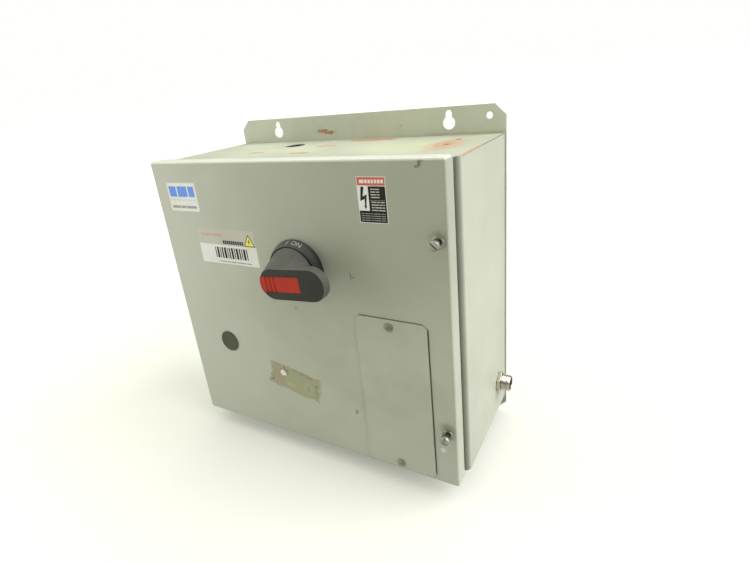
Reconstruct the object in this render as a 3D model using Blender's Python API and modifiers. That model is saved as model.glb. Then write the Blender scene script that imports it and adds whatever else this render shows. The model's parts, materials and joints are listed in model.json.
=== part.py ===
"""Fused disconnect switch: a sheet-steel wall enclosure with a hinged door, a through-door
rotary handle and, inside, a three-pole switch with its fuses.

Frame: metres, +Z up, +Y towards the wall. The origin is the middle of the wall face.
"""

import math

import bmesh
import bpy
from mathutils import Matrix, Vector

MM = 0.001
GAP = 0.3 * MM

# Door: a tray of sheet steel, 16 by 15 inches.
DOOR_WIDTH = 406.4 * MM
DOOR_HEIGHT = 382.1 * MM
DOOR_RETURN = 19.5 * MM
DOOR_SHEET = 1.9 * MM
DOOR_BEND = 3.0 * MM
DOOR_SEAM = 5.0 * MM

# Body: five sheets and a rim round the mouth.
BOX_DEPTH = 189.5 * MM
BODY_WIDTH = 415.0 * MM
BODY_HEIGHT = 373.6 * MM
BODY_SHEET = 1.5 * MM
BODY_BEND = 6.5 * MM
TOP_BEND = 2.5 * MM
SIDE_LIP = 30.0 * MM
TOP_LIP = 28.0 * MM
RIM_REACH = 14.0 * MM
RIM_DEPTH = 26.0 * MM

# Back panel, with its mounting flanges above and below the body.
BACK_SHEET = 1.9 * MM
BACK_WIDTH = 418.4 * MM
BACK_TOP = 221.5 * MM
BACK_BOTTOM = -217.0 * MM
TOP_CHAMFER = 13.4 * MM
BOTTOM_CHAMFER = 17.0 * MM
KEYHOLE_X = 137.5 * MM
KEYHOLE_Z = 201.8 * MM
KEYHOLE_RADIUS = 8.05 * MM
SLOT_RADIUS = 4.1 * MM
SLOT_TOP = 217.4 * MM
LOWER_SLOT_Z = -203.0 * MM
LOWER_SLOT_LENGTH = 14.0 * MM
SPARE_HOLE = (189.1 * MM, 208.3 * MM)

# Openings in the top sheet.
CONDUIT_HOLE = (-74.6 * MM, -46.6 * MM)
CONDUIT_RADIUS = 14.6 * MM
SMALL_HOLES = ((164.6 * MM, -44.0 * MM), (163.4 * MM, -80.6 * MM))
SMALL_HOLE_RADIUS = 3.0 * MM

# Door hinges, on the left.
HINGE_X = -211.5 * MM
HINGE_HEIGHTS = {"upper": 120.0 * MM, "lower": -120.0 * MM}
HINGE_LENGTH = 60.0 * MM
KNUCKLE_RADIUS = 3.5 * MM
KNUCKLE_LENGTH = 20.0 * MM
PIN_RADIUS = 1.9 * MM
LEAF_SHEET = 1.6 * MM
BODY_LEAF_REACH = 24.5 * MM

# Captive screws, on the right of the door.
CAPTIVE_X = 192.6 * MM
CAPTIVE = {"upper": (110.5 * MM, -42.0), "lower": (-117.5 * MM, 78.0)}
CAPTIVE_HEAD_RADIUS = 5.4 * MM
CAPTIVE_HEAD = 4.0 * MM
CAPTIVE_STANDS_OUT = 9.0 * MM
CAPTIVE_SHANK_RADIUS = 3.1 * MM
CAPTIVE_TIP = 20.0 * MM
CUP_RADIUS = 6.6 * MM
CUP_HEIGHT = 2.2 * MM
CUP_FLOOR = 1.0 * MM
CUP_BORE = 3.6 * MM
CAPTIVE_SLOT = (1.3 * MM, 1.8 * MM)
NUT_ACROSS_FLATS = 9.5 * MM
NUT_HEIGHT = 5.0 * MM

# Cover plate and its screws.
COVER_SIZE = (88.0 * MM, 203.2 * MM)
COVER_SHEET = 1.5 * MM
COVER_CENTRE = (131.2 * MM, -84.5 * MM)
COVER_CHAMFER = 5.3 * MM
COVER_SCREW_X = 130.3 * MM
COVER_SCREW_Z = {"upper": 8.5 * MM, "lower": -178.8 * MM}
COVER_SCREW_RADIUS = 4.0 * MM
COVER_SCREW_HEAD = 2.2 * MM
COVER_SCREW_CROWN = 2.4 * MM
COVER_SCREW_SHANK = 2.0 * MM
COVER_SCREW_BORE = 2.4 * MM
COVER_SCREW_TIP = -8.0 * MM
COVER_SCREW_SLOT = (1.1 * MM, 1.0 * MM)
COVER_SCREW_TURN = 35.0
GASKET_MARGIN = 5.0 * MM

# Plug in the spare hole of the door.
PLUG_CENTRE = (-127.2 * MM, -59.0 * MM)
PLUG_RADIUS = 15.2 * MM
PLUG_BARREL = 11.0 * MM
PLUG_HEAD = 1.7 * MM
PLUG_TIP = -6.0 * MM

# Handle. Its nose points left, a little past the horizontal, when it is off.
HANDLE_X = 15.8 * MM
HANDLE_Z = 64.2 * MM
HANDLE_TILT = math.radians(-4.5)
BEZEL_RADIUS = 37.0 * MM
BEZEL_HEIGHT = 12.2 * MM
BEZEL_FLOOR = 7.0 * MM
KNOB_RADIUS = 30.5 * MM
KNOB_FRONT = 46.0 * MM
KNOB_SEAM = 12.5 * MM
GRIP_NOSE = -18.5 * MM
GRIP_TAIL = 69.0 * MM
GRIP_RADIUS = 18.5 * MM
GRIP_THICKNESS = 10.5 * MM
HULL_TAIL = 24.0 * MM
SLIDE_RIGHT = 36.5 * MM
SLIDE_HALF_HEIGHT = 9.0 * MM
SLIDE_DEPTH = 6.5 * MM
GROOVE_START = 9.0 * MM
GROOVE_PITCH = 5.6 * MM
GROOVE_WIDTH = 2.2 * MM
GROOVE_DEPTH = 1.0 * MM
GROOVES = 3
SOCKET_RADIUS = 12.0 * MM
SOCKET_END = -37.5 * MM
SOCKET_BORE = 12.4 * MM
SOCKET_BORE_DEPTH = 14.0 * MM

# Receptacle on the right side.
RECEPTACLE_Y = -35.0 * MM
RECEPTACLE_Z = -142.7 * MM
RECEPTACLE_RADIUS = 10.8 * MM
RECEPTACLE_REACH = 16.5 * MM
RECEPTACLE_NUT = 4.5 * MM
RECEPTACLE_ACROSS_FLATS = 25.4 * MM
RECEPTACLE_WALL = 2.4 * MM
RECEPTACLE_FLOOR = 6.0 * MM
RECEPTACLE_FLANGE = 3.2 * MM
RECEPTACLE_TAIL = -12.0 * MM

# Mounting pan.
PAN_WIDTH = 330.0 * MM
PAN_HEIGHT = 300.0 * MM
PAN_FRONT = -16.0 * MM

# Switch: three poles beside the handle's axis.
POLE_PITCH = 44.0 * MM
POLES = [HANDLE_X + step * POLE_PITCH for step in (-1, 0, 1)]
SWITCH_WIDTH = 150.0 * MM
BASE_BOTTOM = 22.0 * MM
BASE_SHELF = 112.0 * MM
BASE_TOP = 146.0 * MM
BASE_FRONT = -50.3 * MM
BASE_FLOOR = -34.0 * MM
COVER_FRONT = -95.0 * MM
COVER_WALL = 2.5 * MM
COVER_HOLE_RADIUS = 15.0 * MM
BAY_WALL = 8.0 * MM
BAY_HALF_WIDTH = 18.0 * MM
OVERCUT = 10.0 * MM
BLOCK_BOTTOM = -98.0 * MM
BLOCK_FRONT = -62.0 * MM
CHANNEL_WIDTH = 38.0 * MM
STRAP_SHEET = 2.0 * MM
STRAP_WIDTH = 16.0 * MM
CONTACT_TRAVEL = 8.0 * MM
BRIDGE_SHEET = 3.0 * MM
BRIDGE_LENGTH = 44.0 * MM
BRIDGE_HALF_WIDTH = 7.0 * MM
BUTTON_LENGTH = 10.0 * MM
BUTTON_HEIGHT = 2.0 * MM
BAR_DEPTH = 8.0 * MM
BAR_HALF_HEIGHT = 7.2 * MM
POST_LENGTH = 10.4 * MM
POST_HALF = (5.0 * MM, 6.0 * MM)
SHAFT_WIDTH = 10.0 * MM
SHAFT_TIP = -160.0 * MM
SHAFT_ROOT = -72.0 * MM
CAM_RADIUS = 20.0 * MM
CAM_DISC = 9.0 * MM
CAM_REAR = 68.3 * MM
CAM_HUB_RADIUS = 11.0 * MM
CAM_HUB_FRONT = 104.0 * MM

# Fuses, their clips and the lugs.
FUSE_RADIUS = 13.5 * MM
FUSE_LENGTH = 60.3 * MM
FUSE_Z = -40.0 * MM
FERRULE = 16.0 * MM
CLIP_WIDTH = 12.0 * MM
CLIP_SHEET = 1.2 * MM
CLIP_TIP = -62.0 * MM
LUG_SIZE = 18.0 * MM
LUG_BORE = 4.0 * MM
LUG_BORE_HEIGHT = 8.1 * MM
LUG_SCREW_HEAD = 2.4 * MM
LINE_STRAP_END = 11.0 * MM
LOAD_STRAP_END = 10.0 * MM
LINE_LUG_Z = 127.0 * MM
LOAD_LUG_Z = -83.0 * MM
GROUND_LUG = (-135.0 * MM, -120.0 * MM)

# Line shield.
SHIELD_SHEET = 1.5 * MM
SHIELD_FRONT = -64.0 * MM
SHIELD_BACK = -30.0 * MM
SHIELD_Z = (113.0 * MM, 150.0 * MM)

# Planes worked out from the sizes above.
DOOR_FRONT = -BOX_DEPTH
DOOR_INSIDE = DOOR_FRONT + DOOR_SHEET
LIP_FRONT = DOOR_FRONT + DOOR_RETURN + DOOR_SEAM
TOP_LIP_FRONT = LIP_FRONT + BODY_SHEET + GAP
HINGE_Y = DOOR_FRONT + DOOR_RETURN + DOOR_SEAM / 2
BODY_BACK = -BACK_SHEET - GAP
SWITCH_BACK = PAN_FRONT - GAP
STRAP_FRONT = BASE_FLOOR - GAP - STRAP_SHEET
FRONT_VIEW = (math.pi / 2, 0.0, 0.0)
SIDE_VIEW = (0.0, math.pi / 2, 0.0)
ALONG_X = (math.pi / 2, 0.0, math.pi / 2)
FINE = 32
COARSE = 20

LOOKS = {
    "paint": ((0.36, 0.37, 0.29), 0.5, 0.0),
    "white_paint": ((0.72, 0.73, 0.70), 0.45, 0.0),
    "black_plastic": ((0.03, 0.03, 0.03), 0.4, 0.0),
    "red_plastic": ((0.42, 0.04, 0.02), 0.4, 0.0),
    "dark_moulding": ((0.05, 0.05, 0.055), 0.5, 0.0),
    "grey_moulding": ((0.20, 0.21, 0.22), 0.5, 0.0),
    "steel": ((0.55, 0.54, 0.50), 0.35, 1.0),
    "nickel": ((0.62, 0.59, 0.50), 0.3, 1.0),
    "copper": ((0.70, 0.38, 0.22), 0.35, 1.0),
    "aluminium": ((0.62, 0.63, 0.64), 0.4, 1.0),
    "fuse_paper": ((0.55, 0.50, 0.40), 0.6, 0.0),
    "foam": ((0.02, 0.02, 0.02), 0.9, 0.0),
    "clear_plastic": ((0.75, 0.80, 0.80), 0.1, 0.0),
}


# ---------------------------------------------------------------- scene and materials


def clear_scene():
    for obj in list(bpy.data.objects):
        bpy.data.objects.remove(obj, do_unlink=True)


def new_collection(name, is_helper=False):
    made = bpy.data.collections.new(name)
    bpy.context.scene.collection.children.link(made)
    made.hide_render = is_helper
    return made


def new_look(name):
    colour, roughness, metallic = LOOKS[name]
    look = bpy.data.materials.new(name)
    look.use_nodes = True
    shader = look.node_tree.nodes["Principled BSDF"]
    shader.inputs["Base Color"].default_value = (*colour, 1.0)
    shader.inputs["Roughness"].default_value = roughness
    shader.inputs["Metallic"].default_value = metallic
    return look


def new_frame(name, at, turn=(0.0, 0.0, 0.0), frame=None):
    """An empty on a joint's axis, which carries the pieces that move with it."""
    empty = bpy.data.objects.new(name, None)
    empty.location = at
    empty.rotation_euler = turn
    empty.parent = frame
    PARTS.objects.link(empty)
    return empty


# ---------------------------------------------------------------- shape helpers


def add_box(bm, low, high):
    """A box from its lowest to its highest corner."""
    low = Vector(low)
    high = Vector(high)
    made = bmesh.ops.create_cube(bm, size=1.0)["verts"]
    size = Matrix.Diagonal((high - low).to_4d())
    bmesh.ops.transform(bm, matrix=Matrix.Translation((low + high) / 2) @ size, verts=made)
    return made


def add_cylinder(bm, radius, bottom, top, centre=(0.0, 0.0), segments=COARSE):
    """A cylinder along Z."""
    middle = Matrix.Translation((centre[0], centre[1], (bottom + top) / 2))
    made = bmesh.ops.create_cone(
        bm, cap_ends=True, segments=segments, radius1=radius, radius2=radius,
        depth=top - bottom, matrix=middle)
    return made["verts"]


def link_mesh(name, mesh, look, at, turn, frame):
    obj = bpy.data.objects.new(name, mesh)
    obj.location = at
    obj.rotation_euler = turn
    obj.parent = frame
    mesh.materials.clear()
    mesh.materials.append(MATERIALS[look])
    PARTS.objects.link(obj)
    return obj


def solid(name, bm, look, at, turn=(0.0, 0.0, 0.0), frame=None):
    mesh = bpy.data.meshes.new(name)
    bm.to_mesh(mesh)
    bm.free()
    mesh.shade_smooth()
    mesh.set_sharp_from_angle(angle=math.radians(35.0))
    return link_mesh(name, mesh, look, at, turn, frame)


def cutter(name, bm, at, turn=(0.0, 0.0, 0.0), frame=None):
    mesh = bpy.data.meshes.new(name)
    bm.to_mesh(mesh)
    bm.free()
    obj = bpy.data.objects.new(name, mesh)
    obj.location = at
    obj.rotation_euler = turn
    obj.parent = frame
    obj.hide_render = True
    obj.display_type = "WIRE"
    CUTTERS.objects.link(obj)
    return obj


def combine(obj, other, operation):
    step = obj.modifiers.new(other.name, "BOOLEAN")
    step.operation = operation
    step.object = other


def thicken(obj, thickness, offset):
    wall = obj.modifiers.new("wall", "SOLIDIFY")
    wall.thickness = thickness
    wall.offset = offset
    wall.use_even_offset = True


def evaluated_mesh(obj):
    bpy.context.view_layer.update()
    graph = bpy.context.evaluated_depsgraph_get()
    return bpy.data.meshes.new_from_object(obj.evaluated_get(graph), depsgraph=graph)


def shared_mesh(obj):
    """The finished mesh of a pattern piece, for its copies to share; the pattern goes away."""
    mesh = evaluated_mesh(obj)
    bpy.data.objects.remove(obj, do_unlink=True)
    return mesh


def flat_plate(name, loops, thickness, look, at, turn=(0.0, 0.0, 0.0), frame=None):
    """A plate of the first loop's outline, with the other loops as holes, from Z 0 upwards."""
    curve = bpy.data.curves.new(name, "CURVE")
    curve.dimensions = "2D"
    curve.fill_mode = "BOTH"
    curve.extrude = thickness / 2
    for loop in loops:
        spline = curve.splines.new("POLY")
        spline.points.add(len(loop) - 1)
        spline.use_cyclic_u = True
        for point, (x, y) in zip(spline.points, loop):
            point.co = (x, y, 0.0, 1.0)
    guide = bpy.data.objects.new(name + "_outline", curve)
    CUTTERS.objects.link(guide)
    mesh = evaluated_mesh(guide)
    bpy.data.objects.remove(guide, do_unlink=True)
    bm = bmesh.new()
    bm.from_mesh(mesh)
    bpy.data.meshes.remove(mesh)
    bmesh.ops.remove_doubles(bm, verts=bm.verts, dist=GAP / 100)
    bmesh.ops.translate(bm, verts=bm.verts, vec=(0.0, 0.0, thickness / 2))
    bmesh.ops.recalc_face_normals(bm, faces=bm.faces)
    return solid(name, bm, look, at, turn, frame)


def folded_sheet(name, path, length, thickness, look, at, turn=(0.0, 0.0, 0.0)):
    """A bent sheet: its mid-line lies in XY and runs along Z, centred."""
    bm = bmesh.new()
    verts = [bm.verts.new((x, y, -length / 2)) for x, y in path]
    edges = [bm.edges.new(pair) for pair in zip(verts, verts[1:])]
    made = bmesh.ops.extrude_edge_only(bm, edges=edges)["geom"]
    moved = [item for item in made if isinstance(item, bmesh.types.BMVert)]
    bmesh.ops.translate(bm, verts=moved, vec=(0.0, 0.0, length))
    obj = solid(name, bm, look, at, turn)
    thicken(obj, thickness, 0.0)
    return obj


def turned(name, profile, look, at, turn=(0.0, 0.0, 0.0), frame=None, steps=COARSE, closed=False):
    """A body turned about Z. Its profile runs down the outer side."""
    bm = bmesh.new()
    verts = [bm.verts.new((radius, 0.0, height)) for radius, height in profile]
    for pair in zip(verts, verts[1:]):
        bm.edges.new(pair)
    if closed:
        bm.edges.new((verts[-1], verts[0]))
    obj = solid(name, bm, look, at, turn, frame)
    lathe = obj.modifiers.new("lathe", "SCREW")
    lathe.steps = steps
    lathe.render_steps = steps
    lathe.use_merge_vertices = True
    lathe.merge_threshold = 0.00001
    return obj


def arc(centre, radius, start, end, count):
    """Points on an arc, from one angle to another in degrees, both ends included."""
    angles = [math.radians(start + (end - start) * step / count) for step in range(count + 1)]
    return [(centre[0] + radius * math.cos(a), centre[1] + radius * math.sin(a)) for a in angles]


def circle(centre, radius, count=FINE):
    return arc(centre, radius, 0.0, 360.0, count)[:-1]


def chamfered(half_width, low, high, low_cut, high_cut):
    """A rectangle with cut corners."""
    return [
        (-half_width + low_cut, low), (half_width - low_cut, low),
        (half_width, low + low_cut), (half_width, high - high_cut),
        (half_width - high_cut, high), (-half_width + high_cut, high),
        (-half_width, high - high_cut), (-half_width, low + low_cut)]


def rectangle(half_width, half_height):
    return [
        (-half_width, -half_height), (half_width, -half_height),
        (half_width, half_height), (-half_width, half_height)]


def stadium(left, right, radius, count=10):
    """A flat-sided outline with round ends, along X."""
    return (arc((right - radius, 0.0), radius, -90.0, 90.0, count)
            + arc((left + radius, 0.0), radius, 90.0, 270.0, count))


def from_hinge(x, y, z):
    """A place in the door's frame, whose origin is on the hinge axis."""
    return (x - HINGE_X, y - HINGE_Y, z)


# ---------------------------------------------------------------- enclosure body


def keyhole(centre_x):
    """A round hole for the screw head, with a slot above it for the shank."""
    half = math.degrees(math.asin(SLOT_RADIUS / KEYHOLE_RADIUS))
    hole = arc((centre_x, KEYHOLE_Z), KEYHOLE_RADIUS, 90.0 + half, 450.0 - half, 18)
    return hole + arc((centre_x, SLOT_TOP - SLOT_RADIUS), SLOT_RADIUS, 0.0, 180.0, 8)


def lower_slot(centre_x):
    straight = LOWER_SLOT_LENGTH / 2 - SLOT_RADIUS
    return (arc((centre_x, LOWER_SLOT_Z + straight), SLOT_RADIUS, 0.0, 180.0, 8)
            + arc((centre_x, LOWER_SLOT_Z - straight), SLOT_RADIUS, 180.0, 360.0, 8))


def make_back_panel():
    outline = chamfered(BACK_WIDTH / 2, BACK_BOTTOM, BACK_TOP, BOTTOM_CHAMFER, TOP_CHAMFER)
    holes = [keyhole(side * KEYHOLE_X) for side in (-1, 1)]
    holes += [lower_slot(side * KEYHOLE_X) for side in (-1, 1)]
    holes.append(circle(SPARE_HOLE, SLOT_RADIUS, COARSE))
    flat_plate("back_panel", [outline] + holes, BACK_SHEET, "paint", (0.0, 0.0, 0.0), FRONT_VIEW)


def lip_path(wall, back, front, bend, lip_end):
    """Mid-line of a wall sheet: along the wall at +X, round the bend and back along the lip."""
    inner = bend - BODY_SHEET / 2
    corner = arc((wall - bend, front + bend), inner, 0.0, -90.0, 4)
    return [(wall - BODY_SHEET / 2, back)] + corner + [(lip_end, front + BODY_SHEET / 2)]


def make_body_sheets():
    wall = BODY_WIDTH / 2
    side = lip_path(wall, BODY_BACK, LIP_FRONT, BODY_BEND, wall - SIDE_LIP)
    mirrored = [(-x, y) for x, y in side]
    right = folded_sheet(
        "body_right_side", side, BODY_HEIGHT, BODY_SHEET, "paint", (0.0, 0.0, 0.0))
    folded_sheet("body_left_side", mirrored, BODY_HEIGHT, BODY_SHEET, "paint", (0.0, 0.0, 0.0))

    roof = BODY_HEIGHT / 2
    level = lip_path(roof, BODY_BACK, TOP_LIP_FRONT, TOP_BEND, roof - TOP_LIP)
    width = BODY_WIDTH - 2 * (BODY_SHEET + GAP)
    top = folded_sheet(
        "body_top", [(y, x) for x, y in level], width, BODY_SHEET, "paint",
        (0.0, 0.0, 0.0), ALONG_X)
    bottom = folded_sheet(
        "body_bottom", [(y, -x) for x, y in level], width, BODY_SHEET, "paint",
        (0.0, 0.0, 0.0), ALONG_X)
    for sheet in (top, bottom):
        bm = bmesh.new()
        for side_sign in (-1, 1):
            inner_edge = side_sign * (wall - BODY_BEND - GAP)
            outer_edge = side_sign * (wall + BODY_BEND)
            add_box(bm, (min(inner_edge, outer_edge), LIP_FRONT - BODY_BEND, -roof - BODY_BEND),
                    (max(inner_edge, outer_edge), LIP_FRONT + BODY_BEND + GAP, roof + BODY_BEND))
        combine(sheet, cutter(sheet.name + "_notches", bm, (0.0, 0.0, 0.0)), "DIFFERENCE")

    bm = bmesh.new()
    reach = 2 * BODY_SHEET
    add_cylinder(bm, CONDUIT_RADIUS, -reach, reach, CONDUIT_HOLE, FINE)
    for place in SMALL_HOLES:
        add_cylinder(bm, SMALL_HOLE_RADIUS, -reach, reach, place)
    combine(top, cutter("top_holes", bm, (0.0, 0.0, roof - BODY_SHEET / 2)), "DIFFERENCE")

    bm = bmesh.new()
    add_cylinder(bm, RECEPTACLE_RADIUS + GAP, -reach, reach, segments=FINE)
    hole = cutter("receptacle_hole", bm, (wall, RECEPTACLE_Y, RECEPTACLE_Z), SIDE_VIEW)
    combine(right, hole, "DIFFERENCE")
    bm = bmesh.new()
    for height, _ in CAPTIVE.values():
        add_cylinder(bm, CUP_BORE, -reach, reach, (CAPTIVE_X, height))
    combine(right, cutter("lip_holes", bm, (0.0, LIP_FRONT, 0.0), FRONT_VIEW), "DIFFERENCE")


def make_front_rim():
    """The rim that stands out of the mouth and presses into the door's gasket."""
    half_width = BODY_WIDTH / 2 - SIDE_LIP - GAP
    half_height = BODY_HEIGHT / 2 - TOP_LIP - GAP
    front = LIP_FRONT - RIM_REACH
    bm = bmesh.new()
    add_box(bm, (-half_width, 0.0, -half_height), (half_width, RIM_DEPTH, half_height))
    bm.normal_update()
    ends = [face for face in bm.faces if abs(face.normal.y) > 0.5]
    bmesh.ops.delete(bm, geom=ends, context="FACES_ONLY")
    rim = solid("front_rim", bm, "paint", (0.0, front, 0.0))
    thicken(rim, BODY_SHEET, -1.0)


def make_mounting_pan():
    half = (PAN_WIDTH - BODY_SHEET) / 2
    level = PAN_FRONT + BODY_SHEET / 2
    path = [(-half, BODY_BACK), (-half, level), (half, level), (half, BODY_BACK)]
    folded_sheet("mounting_pan", path, PAN_HEIGHT, BODY_SHEET, "white_paint", (0.0, 0.0, 0.0))


# ---------------------------------------------------------------- door hinges


def make_hinge(which, height):
    """Two leaves round one pin: the body leaf has the outer knuckles, the door leaf the middle."""
    half = HINGE_LENGTH / 2
    middle = KNUCKLE_LENGTH / 2
    wall = -BODY_WIDTH / 2 - GAP - HINGE_X
    sheet_back = wall - LEAF_SHEET
    clear = KNUCKLE_RADIUS + 2 * GAP
    pin_hole = bmesh.new()
    add_cylinder(pin_hole, PIN_RADIUS + GAP, -half - MM, half + MM, segments=16)
    hole = cutter("hinge_hole_" + which, pin_hole, (HINGE_X, HINGE_Y, height))

    bm = bmesh.new()
    add_box(bm, (sheet_back, clear, -half), (wall, clear + BODY_LEAF_REACH, half))
    leaf = solid("hinge_" + which + "_body_leaf", bm, "paint", (HINGE_X, HINGE_Y, height))
    for end in (-1, 1):
        low = min(end * (middle + GAP), end * half)
        high = max(end * (middle + GAP), end * half)
        tongue = bmesh.new()
        add_box(tongue, (sheet_back, 0.0, low), (wall, clear + MM, high))
        knuckle = bmesh.new()
        add_cylinder(knuckle, KNUCKLE_RADIUS, low, high, segments=16)
        label = "hinge_" + which + ("_top" if end > 0 else "_bottom")
        combine(leaf, cutter(label + "_tongue", tongue, (HINGE_X, HINGE_Y, height)), "UNION")
        combine(leaf, cutter(label + "_knuckle", knuckle, (HINGE_X, HINGE_Y, height)), "UNION")
    combine(leaf, hole, "DIFFERENCE")

    side = -DOOR_WIDTH / 2 - GAP - HINGE_X
    tab_front = -KNUCKLE_RADIUS - LEAF_SHEET
    bm = bmesh.new()
    add_box(bm, (side - LEAF_SHEET, DOOR_FRONT + DOOR_BEND - HINGE_Y, -half),
            (side, tab_front + MM, half))
    leaf = solid("hinge_" + which + "_door_leaf", bm, "paint", (0.0, 0.0, height), frame=DOOR)
    tab = bmesh.new()
    add_box(tab, (-MM, tab_front, -middle), (side, -KNUCKLE_RADIUS + MM, middle))
    knuckle = bmesh.new()
    add_cylinder(knuckle, KNUCKLE_RADIUS, -middle, middle, segments=16)
    for label, shape in (("tab", tab), ("knuckle", knuckle)):
        helper = cutter("door_leaf_" + which + "_" + label, shape, (0.0, 0.0, height), frame=DOOR)
        combine(leaf, helper, "UNION")
    combine(leaf, hole, "DIFFERENCE")

    bm = bmesh.new()
    add_cylinder(bm, PIN_RADIUS, -half - MM, half + MM, segments=16)
    solid("hinge_" + which + "_pin", bm, "steel", (HINGE_X, HINGE_Y, height))


# ---------------------------------------------------------------- door and what is on it


def make_door_panel():
    bm = bmesh.new()
    add_box(bm, (-DOOR_WIDTH / 2, 0.0, -DOOR_HEIGHT / 2),
            (DOOR_WIDTH / 2, DOOR_RETURN, DOOR_HEIGHT / 2))
    bm.normal_update()
    back = [face for face in bm.faces if face.normal.y > 0.5]
    bmesh.ops.delete(bm, geom=back, context="FACES_ONLY")
    bends = [edge for edge in bm.edges if not edge.is_boundary]
    bmesh.ops.bevel(
        bm, geom=bends, offset=DOOR_BEND, offset_type="OFFSET", segments=2, profile=0.5,
        affect="EDGES", material=-1)
    door = solid("door_panel", bm, "paint", from_hinge(0.0, DOOR_FRONT, 0.0), frame=DOOR)
    thicken(door, DOOR_SHEET, -1.0)

    bm = bmesh.new()
    reach = DOOR_BEND
    add_cylinder(bm, SOCKET_RADIUS + MM, -reach, reach, (HANDLE_X, HANDLE_Z))
    add_cylinder(bm, PLUG_BARREL + GAP, -reach, reach, PLUG_CENTRE)
    for height, _ in CAPTIVE.values():
        add_cylinder(bm, CUP_BORE, -reach, reach, (CAPTIVE_X, height))
    for height in COVER_SCREW_Z.values():
        add_cylinder(bm, COVER_SCREW_BORE, -reach, reach, (COVER_SCREW_X, height), 12)
    holes = cutter("door_holes", bm, from_hinge(0.0, DOOR_FRONT, 0.0), FRONT_VIEW, DOOR)
    combine(door, holes, "DIFFERENCE")


def make_door_gasket():
    rim_x = BODY_WIDTH / 2 - SIDE_LIP
    rim_z = BODY_HEIGHT / 2 - TOP_LIP
    depth = (LIP_FRONT - RIM_REACH - GAP) - (DOOR_INSIDE + GAP)
    loops = [
        rectangle(rim_x + reach, rim_z + reach) for reach in (GASKET_MARGIN, -GASKET_MARGIN)]
    at = from_hinge(0.0, DOOR_INSIDE + GAP + depth, 0.0)
    flat_plate("door_gasket", loops, depth, "foam", at, FRONT_VIEW, DOOR)


def cut_slot(obj, slot, top, angle, at, frame):
    """A screwdriver slot, of that width and depth, across a head."""
    width, depth = slot
    reach = 2 * CUP_RADIUS
    bm = bmesh.new()
    add_box(bm, (-reach, -width / 2, top - depth), (reach, width / 2, top + MM))
    bmesh.ops.rotate(bm, verts=bm.verts, matrix=Matrix.Rotation(math.radians(angle), 3, "Z"))
    combine(obj, cutter(obj.name + "_slot", bm, at, FRONT_VIEW, frame), "DIFFERENCE")


def make_cover_plate():
    half_height = COVER_SIZE[1] / 2
    outline = chamfered(
        COVER_SIZE[0] / 2, -half_height, half_height, COVER_CHAMFER, COVER_CHAMFER)
    holes = [
        circle((COVER_SCREW_X - COVER_CENTRE[0], height - COVER_CENTRE[1]),
               COVER_SCREW_BORE, 12)
        for height in COVER_SCREW_Z.values()]
    at = from_hinge(COVER_CENTRE[0], DOOR_FRONT - GAP, COVER_CENTRE[1])
    flat_plate("cover_plate", [outline] + holes, COVER_SHEET, "paint", at, FRONT_VIEW, DOOR)

    seat = COVER_SHEET + 2 * GAP
    top = seat + COVER_SCREW_HEAD
    profile = [
        (0.0, top), (COVER_SCREW_CROWN, top), (COVER_SCREW_RADIUS, seat + MM),
        (COVER_SCREW_RADIUS, seat), (COVER_SCREW_SHANK, seat),
        (COVER_SCREW_SHANK, COVER_SCREW_TIP), (0.0, COVER_SCREW_TIP)]
    for which, height in COVER_SCREW_Z.items():
        at = from_hinge(COVER_SCREW_X, DOOR_FRONT, height)
        screw = turned(
            "cover_screw_" + which, profile, "steel", at, FRONT_VIEW, DOOR, steps=16)
        cut_slot(screw, COVER_SCREW_SLOT, top, COVER_SCREW_TURN, at, DOOR)


def make_captive_screw(which, height, slot_angle):
    """A quarter-inch screw backed out of its nut, and the dished cup that keeps it on the door."""
    at = from_hinge(CAPTIVE_X, DOOR_FRONT, height)
    cup = [
        (CUP_BORE, CUP_FLOOR), (CUP_RADIUS - MM, CUP_FLOOR), (CUP_RADIUS - 0.8 * MM, CUP_HEIGHT),
        (CUP_RADIUS - 0.3 * MM, CUP_HEIGHT), (CUP_RADIUS, GAP), (CUP_BORE, GAP)]
    turned("screw_cup_" + which, cup, "steel", at, FRONT_VIEW, DOOR, closed=True)

    frame = new_frame("captive_screw_" + which + "_axis", at, frame=DOOR)
    under = CAPTIVE_STANDS_OUT
    top = under + CAPTIVE_HEAD
    edge = 0.8 * MM
    profile = [
        (0.0, top), (CAPTIVE_HEAD_RADIUS - edge, top), (CAPTIVE_HEAD_RADIUS, top - edge),
        (CAPTIVE_HEAD_RADIUS, under), (CAPTIVE_SHANK_RADIUS, under),
        (CAPTIVE_SHANK_RADIUS, -CAPTIVE_TIP + edge), (CAPTIVE_SHANK_RADIUS - edge, -CAPTIVE_TIP),
        (0.0, -CAPTIVE_TIP)]
    here = (0.0, 0.0, 0.0)
    screw = turned("captive_screw_" + which, profile, "steel", here, FRONT_VIEW, frame)
    cut_slot(screw, CAPTIVE_SLOT, top, slot_angle, here, frame)

    corner = NUT_ACROSS_FLATS / 2 / math.cos(math.pi / 6)
    loops = [circle((0.0, 0.0), corner, 6), circle((0.0, 0.0), CAPTIVE_SHANK_RADIUS + GAP, 16)]
    seat = (CAPTIVE_X, LIP_FRONT + BODY_SHEET + GAP + NUT_HEIGHT, height)
    flat_plate("captive_nut_" + which, loops, NUT_HEIGHT, "steel", seat, FRONT_VIEW)


def make_hole_plug():
    profile = [
        (0.0, PLUG_HEAD), (PLUG_RADIUS - PLUG_HEAD, PLUG_HEAD), (PLUG_RADIUS, PLUG_HEAD / 2),
        (PLUG_RADIUS, GAP), (PLUG_BARREL, GAP), (PLUG_BARREL, PLUG_TIP + MM),
        (PLUG_BARREL - MM, PLUG_TIP), (0.0, PLUG_TIP)]
    at = from_hinge(PLUG_CENTRE[0], DOOR_FRONT, PLUG_CENTRE[1])
    turned("hole_plug", profile, "black_plastic", at, FRONT_VIEW, DOOR, steps=FINE)


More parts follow.
